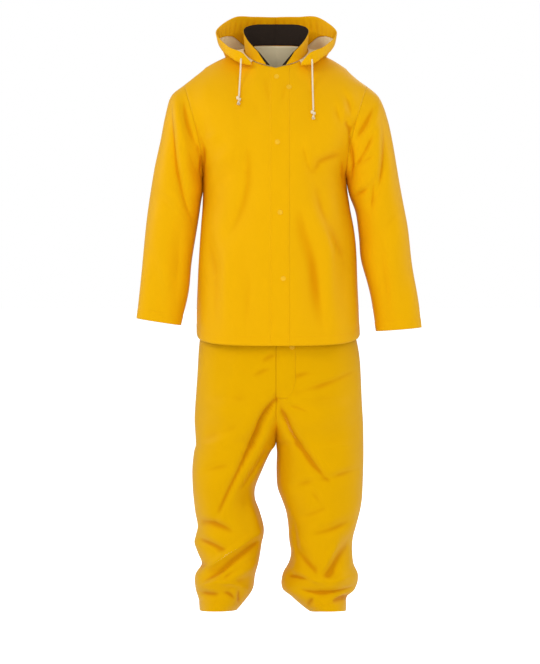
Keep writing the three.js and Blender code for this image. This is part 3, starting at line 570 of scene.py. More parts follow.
# %% Creases, as seen from the front or from behind
# Columns: start x, z; end x, z; bow to the side; width; depth (negative is a trough); swelling beside it,
# as a share of the depth, on the side that the bow counts as positive.
CREASES = {
    "front": [
        # Right chest: the long bowed trough, the slack beside it, and the folds down to the hem.
        (-76, -205, -128, -460, 22, 28, -7.5, -0.3),
        (-190, -322, -95, -212, 10, 22, 7, 0),
        (-185, -201, -143, -178, 0, 12, 4, 0),
        (-183, -440, -168, -560, 0, 18, -5, 0),
        (-165, -480, -160, -725, 0, 24, -6, 0),
        (-134, -460, -136, -725, 0, 24, 4.5, 0),
        (-66, -520, -92, -740, 0, 28, -3.5, 0.2),
        (-36, -20, -18, -106, 0, 10, -1.4, 0),
        (-60, -80, -28, -160, -6, 18, -1.6, 0),
        # Left chest: the small folds under the arm and the long ones that run to the hem.
        (30, -30, 14, -104, 0, 8, -2.5, 0),
        (90, -268, 190, -232, 6, 15, -4.6, 0.5),
        (70, -206, 96, -290, -4, 11, -3, 0.4),
        (95, -284, 118, -262, 0, 9, -3, 0),
        (106, -316, 188, -510, -10, 26, -8.5, -0.4),
        (58, -375, 128, -725, 6, 38, -9, 0.25),
        (135, -330, 138, -690, 0, 20, 6, 0),
        (180, -400, 192, -700, 0, 24, -8, 0),
        (154, -98, 175, -162, 0, 13, -4, 0.3),
        (172, -64, 199, -138, 6, 12, -4, 0.3),
        (178, -250, 178, -321, 0, 7, -6, 0),
        # The deep folds in front of both armpits.
        (-193, -215, -197, -306, 0, 7, -9, 0),
        (197, -165, 199, -300, 0, 7, -9, 0),
        (180, -312, 198, -358, 0, 7, -9, 0),
        # Right sleeve.
        (-278, -111, -220, -405, -17, 17, -14, 0.35),
        (-262, -66, -236, -228, -8, 14, 6, 0),
        (-246, -92, -198, -236, -8, 9, -4.5, 0.3),
        (-218, -142, -189, -230, -3, 8, -4, 0.3),
        (-204, -200, -196, -250, -3, 7, -4, 0),
        (-330, -330, -262, -400, 0, 28, -5, 0.3),
        (-340, -470, -300, -660, 6, 26, -4, 0.2),
        (-256, -420, -272, -640, 4, 20, -5, 0.3),
        # Left sleeve.
        (216, -138, 197, -182, 0, 7, -5, 0),
        (183, -138, 196, -178, 0, 7, -4, 0),
        (264, -92, 204, -203, 6, 11, -6, 0.3),
        (262, -168, 201, -270, 6, 11, -6, 0.3),
        (262, -232, 206, -264, 4, 10, -4, 0.3),
        (284, -150, 252, -372, 16, 16, -11, -0.3),
        (263, -292, 246, -380, 0, 11, -7, 0.3),
        (250, -318, 202, -350, 0, 12, -7, -0.4),
        (332, -380, 280, -440, 0, 26, -5, 0.3),
        (350, -480, 330, -680, 6, 26, -4, 0.2),
        (272, -470, 296, -680, 4, 20, -5, 0.3),
        # Trousers, from the fly to the knees.
        (6, -872, -84, -1046, -3, 15, -15, 0.35),
        (-30, -950, -162, -1204, -3, 12, -8, 0.35),
        (2, -884, -48, -990, -11, 10, -4.5, 0),
        (-24, -1010, -100, -1130, 6, 9, -4, 0.3),
        (4, -880, 62, -1010, -8, 12, -8.5, -0.35),
        (44, -980, 142, -1106, -4, 15, -8.5, 0.4),
        (128, -1102, 226, -1068, 2, 15, -4.5, 0.3),
        (34, -1120, 132, -1098, 4, 14, -3.5, 0.3),
        (-203, -1010, -62, -958, -8, 18, 8, 0),
        (-44, -790, 8, -762, 4, 10, -3, 0),
        (-66, -826, -8, -800, 3, 10, -2.5, 0),
        (58, -862, 222, -800, -8, 12, -3, 0.3),
        (40, -830, 100, -812, 3, 10, -2.5, 0),
        (20, -900, 104, -926, 5, 12, -4, 0.3),
        (85, -1118, 132, -1180, 0, 15, -3, 0.3),
        (60, -1205, 150, -1178, 6, 18, -3.5, 0.3),
        (-205, -1085, -110, -1060, 6, 20, -5, 0.3),
        (-56, -1110, -38, -1262, -16, 16, 8, 0),
        (34, -1190, 50, -1290, 4, 11, -5, 0),
        # Right ankle.
        (-212, -1208, -110, -1240, 6, 15, -7, 0.3),
        (-214, -1252, -130, -1290, 0, 16, -8.5, 0.4),
        (-44, -1236, -204, -1350, 0, 12, 10, 0),
        (-30, -1252, -208, -1382, 4, 17, -12, 0.4),
        (-52, -1308, -158, -1378, -6, 11, -6.5, 0.4),
        (-204, -1384, -80, -1392, 18, 11, 9, 0),
        (-212, -1400, -148, -1404, 0, 13, -7, 0.4),
        (-140, -1398, -104, -1424, 4, 8, -6, 0),
        (-98, -1388, -96, -1436, 0, 8, -6, 0),
        # Left ankle.
        (212, -1200, 90, -1244, 8, 16, -6, 0.3),
        (212, -1248, 126, -1386, -4, 17, -8.5, 0.5),
        (168, -1258, 110, -1362, 0, 12, 7, 0),
        (40, -1258, 122, -1360, -6, 15, -5.5, -0.4),
        (10, -1348, 112, -1378, 4, 14, -9, 0.4),
        (60, -1362, 205, -1350, -12, 13, 9, 0),
        (60, -1392, 216, -1382, -14, 15, -11.5, 0.4),
        (82, -1434, 100, -1414, 0, 8, -6, 0),
        (150, -1424, 200, -1406, 0, 8, -7, 0.3),
    ],
    "back": [
        # Jacket: slack below the shoulder blades.
        (-150, -330, -60, -560, 16, 26, -9, 0.4),
        (150, -320, 84, -600, -18, 28, -10, -0.4),
        (20, -420, 40, -700, 8, 24, 7, 0),
        (-60, -180, -120, -330, -10, 18, -5, 0.3),
        (70, -200, 140, -300, 8, 18, -5, 0.3),
        (-165, -540, -150, -720, 0, 20, -6, 0.3),
        (150, -560, 165, -725, 0, 20, -6, 0.3),
        (-30, -560, -50, -735, 0, 22, -5, 0),
        # Sleeves.
        (-270, -150, -225, -420, -12, 20, -10, 0.3),
        (-330, -400, -240, -470, 0, 20, -6, 0.3),
        (-335, -540, -262, -575, 4, 18, -4, 0.3),
        (274, -130, 240, -400, 14, 20, -11, -0.3),
        (340, -430, 250, -490, 0, 20, -6, 0.3),
        (350, -570, 280, -610, 4, 18, -4, 0.3),
        # Trousers.
        (22, -940, 160, -1150, -16, 24, -10, 0.35),
        (-24, -940, -170, -1130, 18, 24, -10, -0.35),
        (30, -880, 150, -860, -14, 20, -5, 0.3),
        (-30, -880, -150, -870, 14, 20, -5, 0.3),
        (60, -1190, 200, -1160, 10, 18, -8, 0.3),
        (-70, -1180, -200, -1210, -10, 18, -8, 0.3),
        (-200, -1290, -60, -1258, 14, 14, -12, 0.3),
        (-205, -1372, -70, -1342, 12, 14, -14, 0.3),
        (-205, -1330, -60, -1305, 10, 14, 8, 0),
        (44, -1302, 196, -1278, 14, 14, -12, 0.3),
        (30, -1384, 200, -1372, 14, 14, -14, 0.3),
        (40, -1340, 200, -1325, 12, 14, 8, 0),
    ],
}
print("creases:", {face: len(rows) for face, rows in CREASES.items()})

FINEST = 5.0  # width of the narrowest bell that the grids can carry
LEE_WIDTH = 0.6  # width of the slope on the swelling's side, as a share of the crease's
CORE_WIDTH = 0.36  # width of the sharper bell inside a steep crease, as a share too
SWELL_DISTANCE = 1.5  # from the crease's line to its swelling, in widths
STEEP_FROM, MOST_CRISP = 0.5, 0.5  # depth over width where the sharper bell sets in, and its largest share
TAPER = 0.06  # share of a half turn that is cut off a crease's sine at each end
SLACK_STEEPNESS = 190  # length of a wave of slack cloth over its height


def seen(points, normals):
    """Where points appear in the front view, or in the back view if they face backwards."""
    depth = np.where(normals[..., 1] < 0, points[..., 1], -points[..., 1])
    near = VIEW_DISTANCE / (VIEW_DISTANCE + depth)
    return points[..., 0] * near, VIEW_HEIGHT + (points[..., 2] - VIEW_HEIGHT) * near


def crease_height(points, normals):
    """The sum of all creases: each a bell across its line times a taper along it.

    A steep crease has a narrower bell in it, so that it ends in a sharper line. The slope on the side of
    its swelling is narrower than the other.
    """
    x, z = seen(points, normals)
    height = np.zeros(x.shape)
    for face, creases in CREASES.items():
        facing = np.clip(2 * FACE_SIGN[face] * normals[..., 1], 0, 1)
        for x0, z0, x1, z1, bow, width, depth, swelling in creases:
            dx, dz = x1 - x0, z1 - z0
            length = math.hypot(dx, dz)
            along = ((x - x0) * dx + (z - z0) * dz) / length**2
            t = np.clip(along, 0, 1)
            aside = (-(x - x0) * dz + (z - z0) * dx) / length - 4 * bow * t * (1 - t)
            end = bump_of((along - t) * length, width)
            wide = np.maximum(FINEST, np.where(aside * swelling > 0, LEE_WIDTH * width, width))
            crisp = min(MOST_CRISP, max(0, abs(depth) / width - STEEP_FROM))
            narrow = np.maximum(CORE_WIDTH * wide, FINEST)
            shape = mix(bump_of(aside, wide), bump_of(aside, narrow), crisp)
            if swelling:
                centre = math.copysign(SWELL_DISTANCE * width, swelling)
                shape = shape - abs(swelling) * bump_of(aside - centre, width)
            taper = np.sin(np.pi * (TAPER + (1 - 2 * TAPER) * t))
            height += depth * facing * taper * end * shape
    return height


def slack(points):
    """Low, wide unevenness of loose cloth: four slanting sine waves of unlike lengths, up to 1 mm each."""
    x, y, z = (points[..., k] for k in range(3))
    waves = ((71, 0.9, 0.2, 0.15), (97, -0.8, 0.5, 0.3), (171, 0.3, 0.8, -0.6), (59, 0.9, -0.4, -0.2))
    return sum(
        np.sin(2 * np.pi * (a * x + b * y + c * z) / length + length) * length / SLACK_STEEPNESS
        for length, a, b, c in waves
    )


# %% [markdown]
# ## Panels
#
# Panels that share a seam are made in one go. Their points on the seam are the same, so one common normal
# is worked out for each of them, and the cloth stays closed when the creases push it.


# %% Panels that share seams
def panel(name, grid, ring=False):
    """A panel that is being made: its name, its points, and whether its columns close round."""
    return {"name": name, "grid": grid, "ring": ring}


def whole_grid(p):
    """The panel's grid, closed if it is a ring."""
    return closed(p["grid"]) if p["ring"] else p["grid"]


def share_normals(panels):
    """Area-weighted normals, summed over all panels' faces that meet at a point; also which way is out."""
    keys = np.concatenate([np.round(p["grid"].reshape(-1, 3) * 50) for p in panels])
    _, index = np.unique(keys, axis=0, return_inverse=True)
    index = index.ravel()
    total = np.zeros((index.max() + 1, 3))
    start = 0
    for p in panels:
        rows, columns = p["grid"].shape[:2]
        p["index"] = index[start : start + rows * columns].reshape(rows, columns)
        start += rows * columns
        grid = whole_grid(p)
        corners = quads(closed(p["index"]) if p["ring"] else p["index"])
        normal = cell_normals(grid)
        middle = (grid[:-1, :-1] + grid[1:, 1:]) / 2 - grid[:-1].mean(axis=1, keepdims=True)
        p["turned"] = bool((normal * middle).sum() < 0)
        if p["turned"]:
            normal = -normal
        for k in range(4):
            np.add.at(total, corners[..., k].ravel(), normal.reshape(-1, 3))
    for p in panels:
        p["normals"] = unit(total[p["index"]])


def turn_over(p):
    """Makes the other side of a panel its outside."""
    p["normals"] = -p["normals"]
    p["turned"] = not p["turned"]


def lift(p, height):
    """Moves a panel's points along their normals."""
    p["grid"] = p["grid"] + p["normals"] * height[..., None]


def press(panels, extra):
    """Moves the panels along their normals by creases and slack, and by what extra(panel) adds."""
    share_normals(panels)
    for p in panels:
        lift(p, crease_height(p["grid"], p["normals"]) + slack(p["grid"]) + extra(p))
    share_normals(panels)


def relax(grid, weight, times):
    """Evens a grid out: each inner point moves towards the mean of its four neighbours, by weight."""
    for _ in range(times):
        mean = (grid[:-2, 1:-1] + grid[2:, 1:-1] + grid[1:-1, :-2] + grid[1:-1, 2:]) / 4
        grid[1:-1, 1:-1] += weight[1:-1, 1:-1, None] * (mean - grid[1:-1, 1:-1])
    return grid


SEAM_DEPTH = 0.4
SEAM_WIDTH = 2.2
HEM_HEIGHT = 0.6  # of the doubled cloth, and depth of the line that its stitches press
HEM_EDGE = 3  # width of the step down from the doubled cloth
HEM_LINE = 2.0  # width of the pressed line


def seam_dip(distance):
    """The pull of a seam: a narrow dip along the edge of a panel."""
    return -SEAM_DEPTH * bump_of(distance, SEAM_WIDTH)


def hem_step(distance, depth):
    """A turned hem: the doubled cloth stands out a little, up to the stitched line that holds it."""
    step = smooth_step((depth + HEM_EDGE / 2 - distance) / HEM_EDGE)
    return HEM_HEIGHT * (step - bump_of(distance - depth, HEM_LINE))


# %% [markdown]
# ## The look of coated cloth
#
# Rain cloth is a woven backing under a thin coat of plastic. The coat hides the weave but follows it
# faintly, so the surface has a soft sheen that is uneven over a few centimetres. Two effects are used by
# more than one material, so each is a node group: `weave` gives the threads' height, and `mottle` a slow
# unevenness.


# %% Node helpers
def new_node(tree, kind, inputs=None, **settings):
    """A node with its settings; an input may be a value or another node's output."""
    node = tree.nodes.new(kind)
    for name, value in settings.items():
        setattr(node, name, value)
    for name, value in (inputs or {}).items():
        if isinstance(value, bpy.types.NodeSocket):
            tree.links.new(value, node.inputs[name])
        else:
            node.inputs[name].default_value = value
    return node


def new_group(name, inputs, output):
    """An empty shader node group: its input sockets with their first values, and one output."""
    tree = bpy.data.node_groups.new(name, "ShaderNodeTree")
    for label, value in inputs.items():
        kind = "NodeSocketFloat" if value is not None else "NodeSocketVector"
        socket = tree.interface.new_socket(label, in_out="INPUT", socket_type=kind)
        if value is not None:
            socket.default_value = value
    tree.interface.new_socket(output, in_out="OUTPUT", socket_type="NodeSocketFloat")
    return tree, tree.nodes.new("NodeGroupInput"), tree.nodes.new("NodeGroupOutput")


def math_node(tree, operation, first, second=0.0, clamp=False):
    """The output of a node that joins two values by one operation."""
    node = new_node(tree, "ShaderNodeMath", {0: first, 1: second}, operation=operation, use_clamp=clamp)
    return node.outputs[0]


def range_node(tree, value, low, high):
    """The output of a node that moves a value from 0 to 1 to the range from low to high."""
    inputs = {"Value": value, "To Min": low, "To Max": high}
    return new_node(tree, "ShaderNodeMapRange", inputs).outputs["Result"]


def group_node(tree, group, inputs):
    """The output of a node that holds a group."""
    return new_node(tree, "ShaderNodeGroup", inputs, node_tree=group).outputs[0]


def new_material(name):
    """A material with its node tree and its shader."""
    material = bpy.data.materials.new(name)
    material.use_nodes = True
    return material, material.node_tree, material.node_tree.nodes["Principled BSDF"]


# %% Node groups
def make_weave_group():
    """Threads that cross: the sine along one thread times the sine along the other, as a height."""
    tree, given, result = new_group("weave", {"Vector": None, "Pitch": 0.001, "Wander": 0.1}, "Height")
    noise = new_node(tree, "ShaderNodeTexNoise", {"Vector": given.outputs["Vector"], "Scale": 90.0})
    wander = math_node(tree, "MULTIPLY", noise.outputs["Fac"], given.outputs["Wander"])
    split = new_node(tree, "ShaderNodeSeparateXYZ", {"Vector": given.outputs["Vector"]})
    turns = math_node(tree, "DIVIDE", math.pi, given.outputs["Pitch"])
    waves = []
    for axis in "XY":
        phase = math_node(tree, "MULTIPLY", split.outputs[axis], turns)
        phase = math_node(tree, "ADD", phase, math_node(tree, "MULTIPLY", wander, 2 * math.pi))
        waves.append(math_node(tree, "SINE", phase))
    height = math_node(tree, "MULTIPLY", waves[0], waves[1])
    tree.links.new(height, result.inputs["Height"])
    return tree


def make_mottle_group():
    """Soft patches: noise of a given size, its contrast raised or lowered about the middle."""
    tree, given, result = new_group("mottle", {"Vector": None, "Size": 0.05, "Contrast": 1.0}, "Mask")
    scale = math_node(tree, "DIVIDE", 1.0, given.outputs["Size"])
    noise = new_node(
        tree,
        "ShaderNodeTexNoise",
        {"Vector": given.outputs["Vector"], "Scale": scale, "Detail": 3.0, "Roughness": 0.55},
    )
    centred = math_node(tree, "SUBTRACT", noise.outputs["Fac"], 0.5)
    spread = math_node(tree, "MULTIPLY", centred, given.outputs["Contrast"])
    tree.links.new(math_node(tree, "ADD", spread, 0.5, clamp=True), result.inputs["Mask"])
    return tree


WEAVE = make_weave_group()
MOTTLE = make_mottle_group()
print("node groups:", WEAVE.name, MOTTLE.name)


# %% Materials
MOTTLE_SHARE = 0.16  # of the deep colour in the patches
ROUGHNESS_SPREAD = 0.05
THREAD_WANDER = 0.15
GRAIN_SCALE = 900.0


def make_fabric(name, colour, patch_and_shade_colour, roughness, specular, pitch, relief, patch=0.06, patch_contrast=1.0):
    """Cloth of two close colours in soft patches, with threads of a pitch and a height in metres.

    The deep colour is also painted into the creases as shade, by a point attribute of the mesh that holds
    how deep each point lies in a crease.
    """
    material, tree, shader = new_material(name)
    place = new_node(tree, "ShaderNodeTexCoord").outputs["Object"]
    cut = new_node(tree, "ShaderNodeUVMap", uv_map="cut").outputs["UV"]
    crease_shade = new_node(tree, "ShaderNodeAttribute", attribute_name="crease_shade").outputs["Fac"]
    patches = group_node(tree, MOTTLE, {"Vector": place, "Size": patch, "Contrast": patch_contrast})
    # share of the deep colour: random patches, plus painted shade in the creases
    share = math_node(tree, "ADD", math_node(tree, "MULTIPLY", patches, MOTTLE_SHARE), crease_shade, clamp=True)
    shade = new_node(tree, "ShaderNodeMix", data_type="RGBA")
    shade.inputs["A"].default_value = (*colour, 1)
    shade.inputs["B"].default_value = (*patch_and_shade_colour, 1)
    tree.links.new(share, shade.inputs["Factor"])
    tree.links.new(shade.outputs["Result"], shader.inputs["Base Color"])
    rough = range_node(tree, patches, roughness - ROUGHNESS_SPREAD, roughness + ROUGHNESS_SPREAD)
    tree.links.new(rough, shader.inputs["Roughness"])
    shader.inputs["Specular IOR Level"].default_value = specular
    shader.inputs["Specular Tint"].default_value = (*(c / max(colour) for c in colour), 1)
    threads = group_node(tree, WEAVE, {"Vector": cut, "Pitch": pitch, "Wander": THREAD_WANDER})
    grain = new_node(tree, "ShaderNodeTexNoise", {"Vector": place, "Scale": GRAIN_SCALE, "Detail": 2.0})
    height = math_node(tree, "ADD", math_node(tree, "MULTIPLY", threads, 0.5), grain.outputs["Fac"])
    bump = new_node(tree, "ShaderNodeBump", {"Height": height, "Distance": relief, "Strength": 1.0})
    tree.links.new(bump.outputs["Normal"], shader.inputs["Normal"])
    return material


# Each second colour serves the cloth's deeper random patches and the painted shade in its creases.
COATING = (0.47, 0.22, 0.0007, 0.00003)  # roughness, specular, pitch and relief of the coated face
coated_cloth = make_fabric("coated_cloth", (0.87, 0.455, 0.003), (0.74, 0.30, 0.001), *COATING)
# Same cloth as the jacket, darker as painted shade for the weaker light on the legs.
shaded_trouser_cloth = make_fabric("shaded_trouser_cloth", (0.80, 0.425, 0.001), (0.66, 0.265, 0.001), *COATING)
backing_cloth = make_fabric(
    "backing_cloth", (0.92, 0.79, 0.52), (0.84, 0.66, 0.38), 0.9, 0.1, 0.0009, 0.00012
)
ribbed_facing = make_fabric(
    "ribbed_facing", (0.030, 0.021, 0.016), (0.014, 0.010, 0.008), 0.92, 0.1, 0.0006, 0.0002, 0.01, 2.0
)
cord_yarn = make_fabric(
    "cord_yarn", (0.88, 0.76, 0.54), (0.66, 0.50, 0.30), 0.9, 0.1, 0.0008, 0.0002, 0.006, 1.6
)
thread = make_fabric("thread", (0.88, 0.42, 0.004), (0.80, 0.34, 0.002), 0.6, 0.2, 0.0003, 0.00002)
snap_enamel = make_fabric(
    "snap_enamel", (0.90, 0.52, 0.03), (0.78, 0.40, 0.02), 0.28, 0.5, 0.002, 0.00001, 0.004
)
print("materials:", len(bpy.data.materials))

# %% [markdown]
# ## Light and floor
#
# The photograph has soft light from the front and a white ground. The world glows evenly. A large lamp from
# the upper left gives the folds their shade, one straight in front opens them, one lights the back, and one
# on each side brightens the outlines. The floor is as pale as the ground, so that no horizon shows.


# %% Light
FLOOR_Z = -1563.0
FLOOR_LIFT = 0.76  # glow that only the camera sees, so the far floor is as white as the ground


def make_lamp(name, place, aim, size, power):
    """A square area lamp at place, in millimetres, that faces aim."""
    data = bpy.data.lights.new(name, "AREA")
    data.size = size
    data.energy = power
    lamp = bpy.data.objects.new(name, data)
    lamp.location = Vector(place) * MM
    lamp.rotation_euler = (Vector(aim) - Vector(place)).to_track_quat("-Z", "Y").to_euler()
    bpy.context.scene.collection.objects.link(lamp)
    return lamp


def make_world(glow, ground):
    """White ground for the camera, and a weaker even glow as light."""
    world = bpy.data.worlds.new("studio")
    world.use_nodes = True
    tree = world.node_tree
    sky = tree.nodes["Background"]
    ray = new_node(tree, "ShaderNodeLightPath")
    tree.links.new(range_node(tree, ray.outputs["Is Camera Ray"], glow, ground), sky.inputs["Strength"])
    sky.inputs["Color"].default_value = (1, 1, 1, 1)
    bpy.context.scene.world = world


make_world(glow=0.49, ground=1.0)
MIDDLE = (0, 0, -650)
LAMPS = {  # place and aim in millimetres, size in metres, power in watts
    "key": ((-2400, -3000, 1700), MIDDLE, 1.6, 39),
    "fill": ((600, -3900, 60), (0, 0, -450), 2.0, 41),
    "back": ((600, 3400, 1700), MIDDLE, 2.6, 36),
    "side_right": ((-3300, 300, 900), MIDDLE, 2.0, 26),
    "side_left": ((3300, 300, 900), MIDDLE, 2.0, 26),
}
for name, values in LAMPS.items():
    make_lamp(name, *values)
print("lamps:", len(LAMPS))
bpy.context.scene.view_settings.view_transform = "Standard"
FLOOR_RADIUS = 40  # metres
FLOOR_CORNERS = 64


def make_floor():
    """A wide pale disc."""
    mesh = bpy.data.meshes.new("floor")
    turns = np.linspace(0, 2 * np.pi, FLOOR_CORNERS + 1)[:-1]
    points = vec(FLOOR_RADIUS * np.cos(turns), FLOOR_RADIUS * np.sin(turns), FLOOR_Z * MM)
    mesh.from_pydata(points.tolist(), [], [list(range(FLOOR_CORNERS))])
    material, tree, shader = new_material("floor_paint")
    place = new_node(tree, "ShaderNodeTexCoord").outputs["Object"]
    patches = group_node(tree, MOTTLE, {"Vector": place, "Size": 0.8, "Contrast": 0.3})
    tree.links.new(range_node(tree, patches, 0.93, 0.95), shader.inputs["Base Color"])
    ray = new_node(tree, "ShaderNodeLightPath")
    lift_light = range_node(tree, ray.outputs["Is Camera Ray"], 0.0, FLOOR_LIFT)
    tree.links.new(lift_light, shader.inputs["Emission Strength"])
    shader.inputs["Emission Color"].default_value = (1, 1, 1, 1)
    shader.inputs["Roughness"].default_value = 0.9
    shader.inputs["Specular IOR Level"].default_value = 0.05
    mesh.materials.append(material)
    floor = bpy.data.objects.new("floor", mesh)
    bpy.context.scene.collection.objects.link(floor)


make_floor()

# %% [markdown]
# ## The drawcords
#
# A braided cord runs through the hood's hem and comes out at both front corners. Each end hangs on the
# chest and is knotted, and below the knot its strands have come loose. The cord is a tube along its route,
# pressed in where the strands of the braid cross.


# %% Tubes along a route
def smooth_route(points, per_span=12):
    """A curve through all points: each span is a cubic whose slopes come from the points beside it."""
    points = np.array(points, float)
    padded = np.concatenate([[2 * points[0] - points[1]], points, [2 * points[-1] - points[-2]]])
    t = np.linspace(0, 1, per_span + 1)[:-1, None]
    spans = []
    for k in range(len(points) - 1):
        a, b, c, d = padded[k : k + 4]
        square, cube = 2 * a - 5 * b + 4 * c - d, 3 * b - a - 3 * c + d
        spans.append(0.5 * (2 * b + (c - a) * t + square * t**2 + cube * t**3))
    return np.concatenate(spans + [points[-1:]])


def route_frame(route, looped=False):
    """Unit tangents of a route, and two directions square to it that turn as little as they can."""
    ahead = np.roll(route, -1, axis=0) if looped else np.concatenate([route[1:], route[-1:]])
    behind = np.roll(route, 1, axis=0) if looped else np.concatenate([route[:1], route[:-1]])
    tangent = unit(ahead - behind)
    side = np.cross(tangent[0], (0.3, 1, 0.2))
    sides = []
    for direction in tangent:
        side = side - direction * side.dot(direction)
        side /= np.linalg.norm(side)
        sides.append(side)
    sides = np.array(sides)
    return tangent, sides, np.cross(tangent, sides)


def square_to(centre, axis):
    """Two directions square to an axis through a point."""
    _, first, second = route_frame(np.array([centre - axis, centre + axis]))
    return first[0], second[0]


def make_tube(name, route, radius, sides, material, looped=False, relief=None):
    """A tube of given radius, or one radius for each point; relief(turn, length) presses its surface."""
    _, first, second = route_frame(route, looped)
    turn = 2 * np.pi * np.arange(sides) / sides
    length = np.concatenate([[0], np.cumsum(np.linalg.norm(np.diff(route, axis=0), axis=1))])
    size = np.broadcast_to(radius, (len(route),))[:, None] * np.ones(sides)
    if relief:
        size = size + relief(turn[None, :], length[:, None])
    ring = first[:, None] * np.cos(turn)[None, :, None] + second[:, None] * np.sin(turn)[None, :, None]
    grid = route[:, None] + ring * size[..., None]
    at = closed(np.arange(len(route) * sides).reshape(-1, sides))
    if looped:
        at = np.concatenate([at, at[:1]])
    faces = np.stack([at[:-1, :-1], at[:-1, 1:], at[1:, 1:], at[1:, :-1]], axis=2).reshape(-1, 4)
    points = grid.reshape(-1, 3)
    if not looped:
        points = np.concatenate([points, route[:1], route[-1:]])
        step = np.arange(0, sides, 2)
        start, end = (np.full(len(step), len(points) - k) for k in (2, 1))
        start_cap = np.stack([start, at[0][step + 2], at[0][step + 1], at[0][step]], 1)
        end_cap = np.stack([end, at[-1][step], at[-1][step + 1], at[-1][step + 2]], 1)
        faces = np.concatenate([faces, start_cap, end_cap])
    corner = points[faces]
    uv = np.stack([corner[..., 0] + corner[..., 1], corner[..., 2]], axis=-1) * MM
    return make_object(name, points, faces, [material], uv=uv)


def braid(strands, pitch, depth):
    """Relief of a braid: two sets of strands wind opposite ways, and the cord is deepest between them."""

    def relief(turn, length):
        wind = 2 * np.pi * length / pitch
        return -depth * np.abs(np.sin(strands * turn / 2 + wind) * np.sin(strands * turn / 2 - wind))

    return relief


# %% Cords, knots and frayed ends
CORD_DIAMETER = 4.6
CORD_ROUTES = {
    "right": [
        (-91, -82, 6.5),
        (-91, -87.2, 3.4),
        (-91.3, -89.6, -4),
        (-92.5, -90, -28),
        (-94, -90.5, -52),
        (-95, -94, -70),
        (-95.5, -100, -84),
        (-96, -105.5, -93),
    ],
    "left": [
        (93, -81.6, 5),
        (93, -86.6, 2.2),
        (93.2, -89.2, -5),
        (93.8, -90, -32),
        (94.3, -91.5, -58),
        (94.8, -97, -78),
        (95.2, -106, -98),
        (95.5, -115, -118),
        (95.6, -120.5, -130),
    ],
}
KNOT_LENGTH = 13
FRAY_LENGTH = 14
FRAY_SEEDS = {"right": 7, "left": 8}
STRANDS = 64
GOLDEN_TURN = 2.4  # radians from each strand to the next, so that they spread evenly
STRAND_RADIUS, STRAND_TAPER = 0.7, 0.15
KNOT_RADIUS = 2.4
KNOT_WIDE, KNOT_DEEP, KNOT_LONG, KNOT_LEAN = 1.6, 1.35, 2.3, 1.2


def make_knot(name, centre, axis):
    """An overhand knot drawn tight: the trefoil curve, squeezed along the cord, as a braided tube."""
    turn = np.linspace(0, 2 * np.pi, 97)[:-1]
    flat = vec(np.sin(turn) + 2 * np.sin(2 * turn), np.cos(turn) - 2 * np.cos(2 * turn), -np.sin(3 * turn))
    first, second = square_to(centre, axis)
    route = (
        centre
        + first * flat[:, :1] * KNOT_WIDE
        + second * flat[:, 1:2] * KNOT_DEEP
        + axis * flat[:, 2:] * KNOT_LONG
        + axis * flat[:, :1] * KNOT_LEAN
    )
    relief = braid(strands=6, pitch=9, depth=0.3)
    return make_tube(name, route, KNOT_RADIUS, 12, cord_yarn, looped=True, relief=relief)


def make_fray(name, start, axis, seed):
    """Loose strands below a knot: each leaves the middle, opens out and curls, all joined in one mesh."""
    random = np.random.default_rng(seed)
    first, second = square_to(start, axis)
    strands = []
    for k in range(STRANDS):
        turn = GOLDEN_TURN * k
        reach = 0.6 + 2.6 * math.sqrt((k + 0.5) / STRANDS)
        outward = first * math.cos(turn) + second * math.sin(turn)
        aside = np.cross(axis, outward)
        t = np.linspace(0, 1, 8)[:, None]
        length = FRAY_LENGTH * random.uniform(0.75, 1.0)
        route = (
            start
            + axis * t * length
            + outward * (0.9 + reach * t**1.4)
            + aside * np.sin(3 * t + k) * random.uniform(0.3, 0.9) * t
        )
        radius = STRAND_RADIUS - STRAND_TAPER * t[:, 0]
        strands.append(make_tube(f"{name}_{k}", route, radius, 4, cord_yarn))
    with bpy.context.temp_override(active_object=strands[0], selected_editable_objects=strands):
        bpy.ops.object.join()
    strands[0].name = name
    strands[0].data.name = name
    return strands[0]


for side, points in CORD_ROUTES.items():
    route = smooth_route(points)
    relief = braid(strands=8, pitch=11, depth=0.22)
    cord = make_tube(f"cord_{side}", route, CORD_DIAMETER / 2, 24, cord_yarn, relief=relief)
    end, down = route[-1], unit(route[-1] - route[-2])
    knot = make_knot(f"cord_knot_{side}", end + down * (KNOT_LENGTH / 2), down)
    fray = make_fray(f"cord_fray_{side}", end + down * (KNOT_LENGTH - 2), down, FRAY_SEEDS[side])
    keep(cord, [f"drawcord_{side}"])
    keep(knot, [f"drawcord_knot_{side}"])
    keep(fray)
    print(f"cord {side}:", round(float(np.linalg.norm(np.diff(route, axis=0), axis=1).sum()), 1), "mm")

# %% [markdown]
# ## Sewing
#
# A row of stitches is many short threads that lie in a line. They are all one mesh for each seam.


# %% Stitches
STITCH = {"pitch": 3.6, "length": 2.7, "width": 0.5, "rise": 0.25}
SECTIONS = ((-0.5, 0.35), (0, 1), (0.5, 0.35))  # place along a stitch, and its width there, as shares
CORNERS = ((1, 0), (0, 1), (-1, 0), (0, -1))


def even_points(line, pitch):
    """Points at even distances along a line, with the direction there."""
    step = np.linalg.norm(np.diff(line, axis=0), axis=1)
    length = np.concatenate([[0], np.cumsum(step)])
    places = np.arange(pitch / 2, length[-1], pitch)

    def at(lengths):
        return np.stack([np.interp(lengths, length, line[:, k]) for k in range(3)], axis=1)

    return at(places), unit(at(places + 1) - at(places - 1))


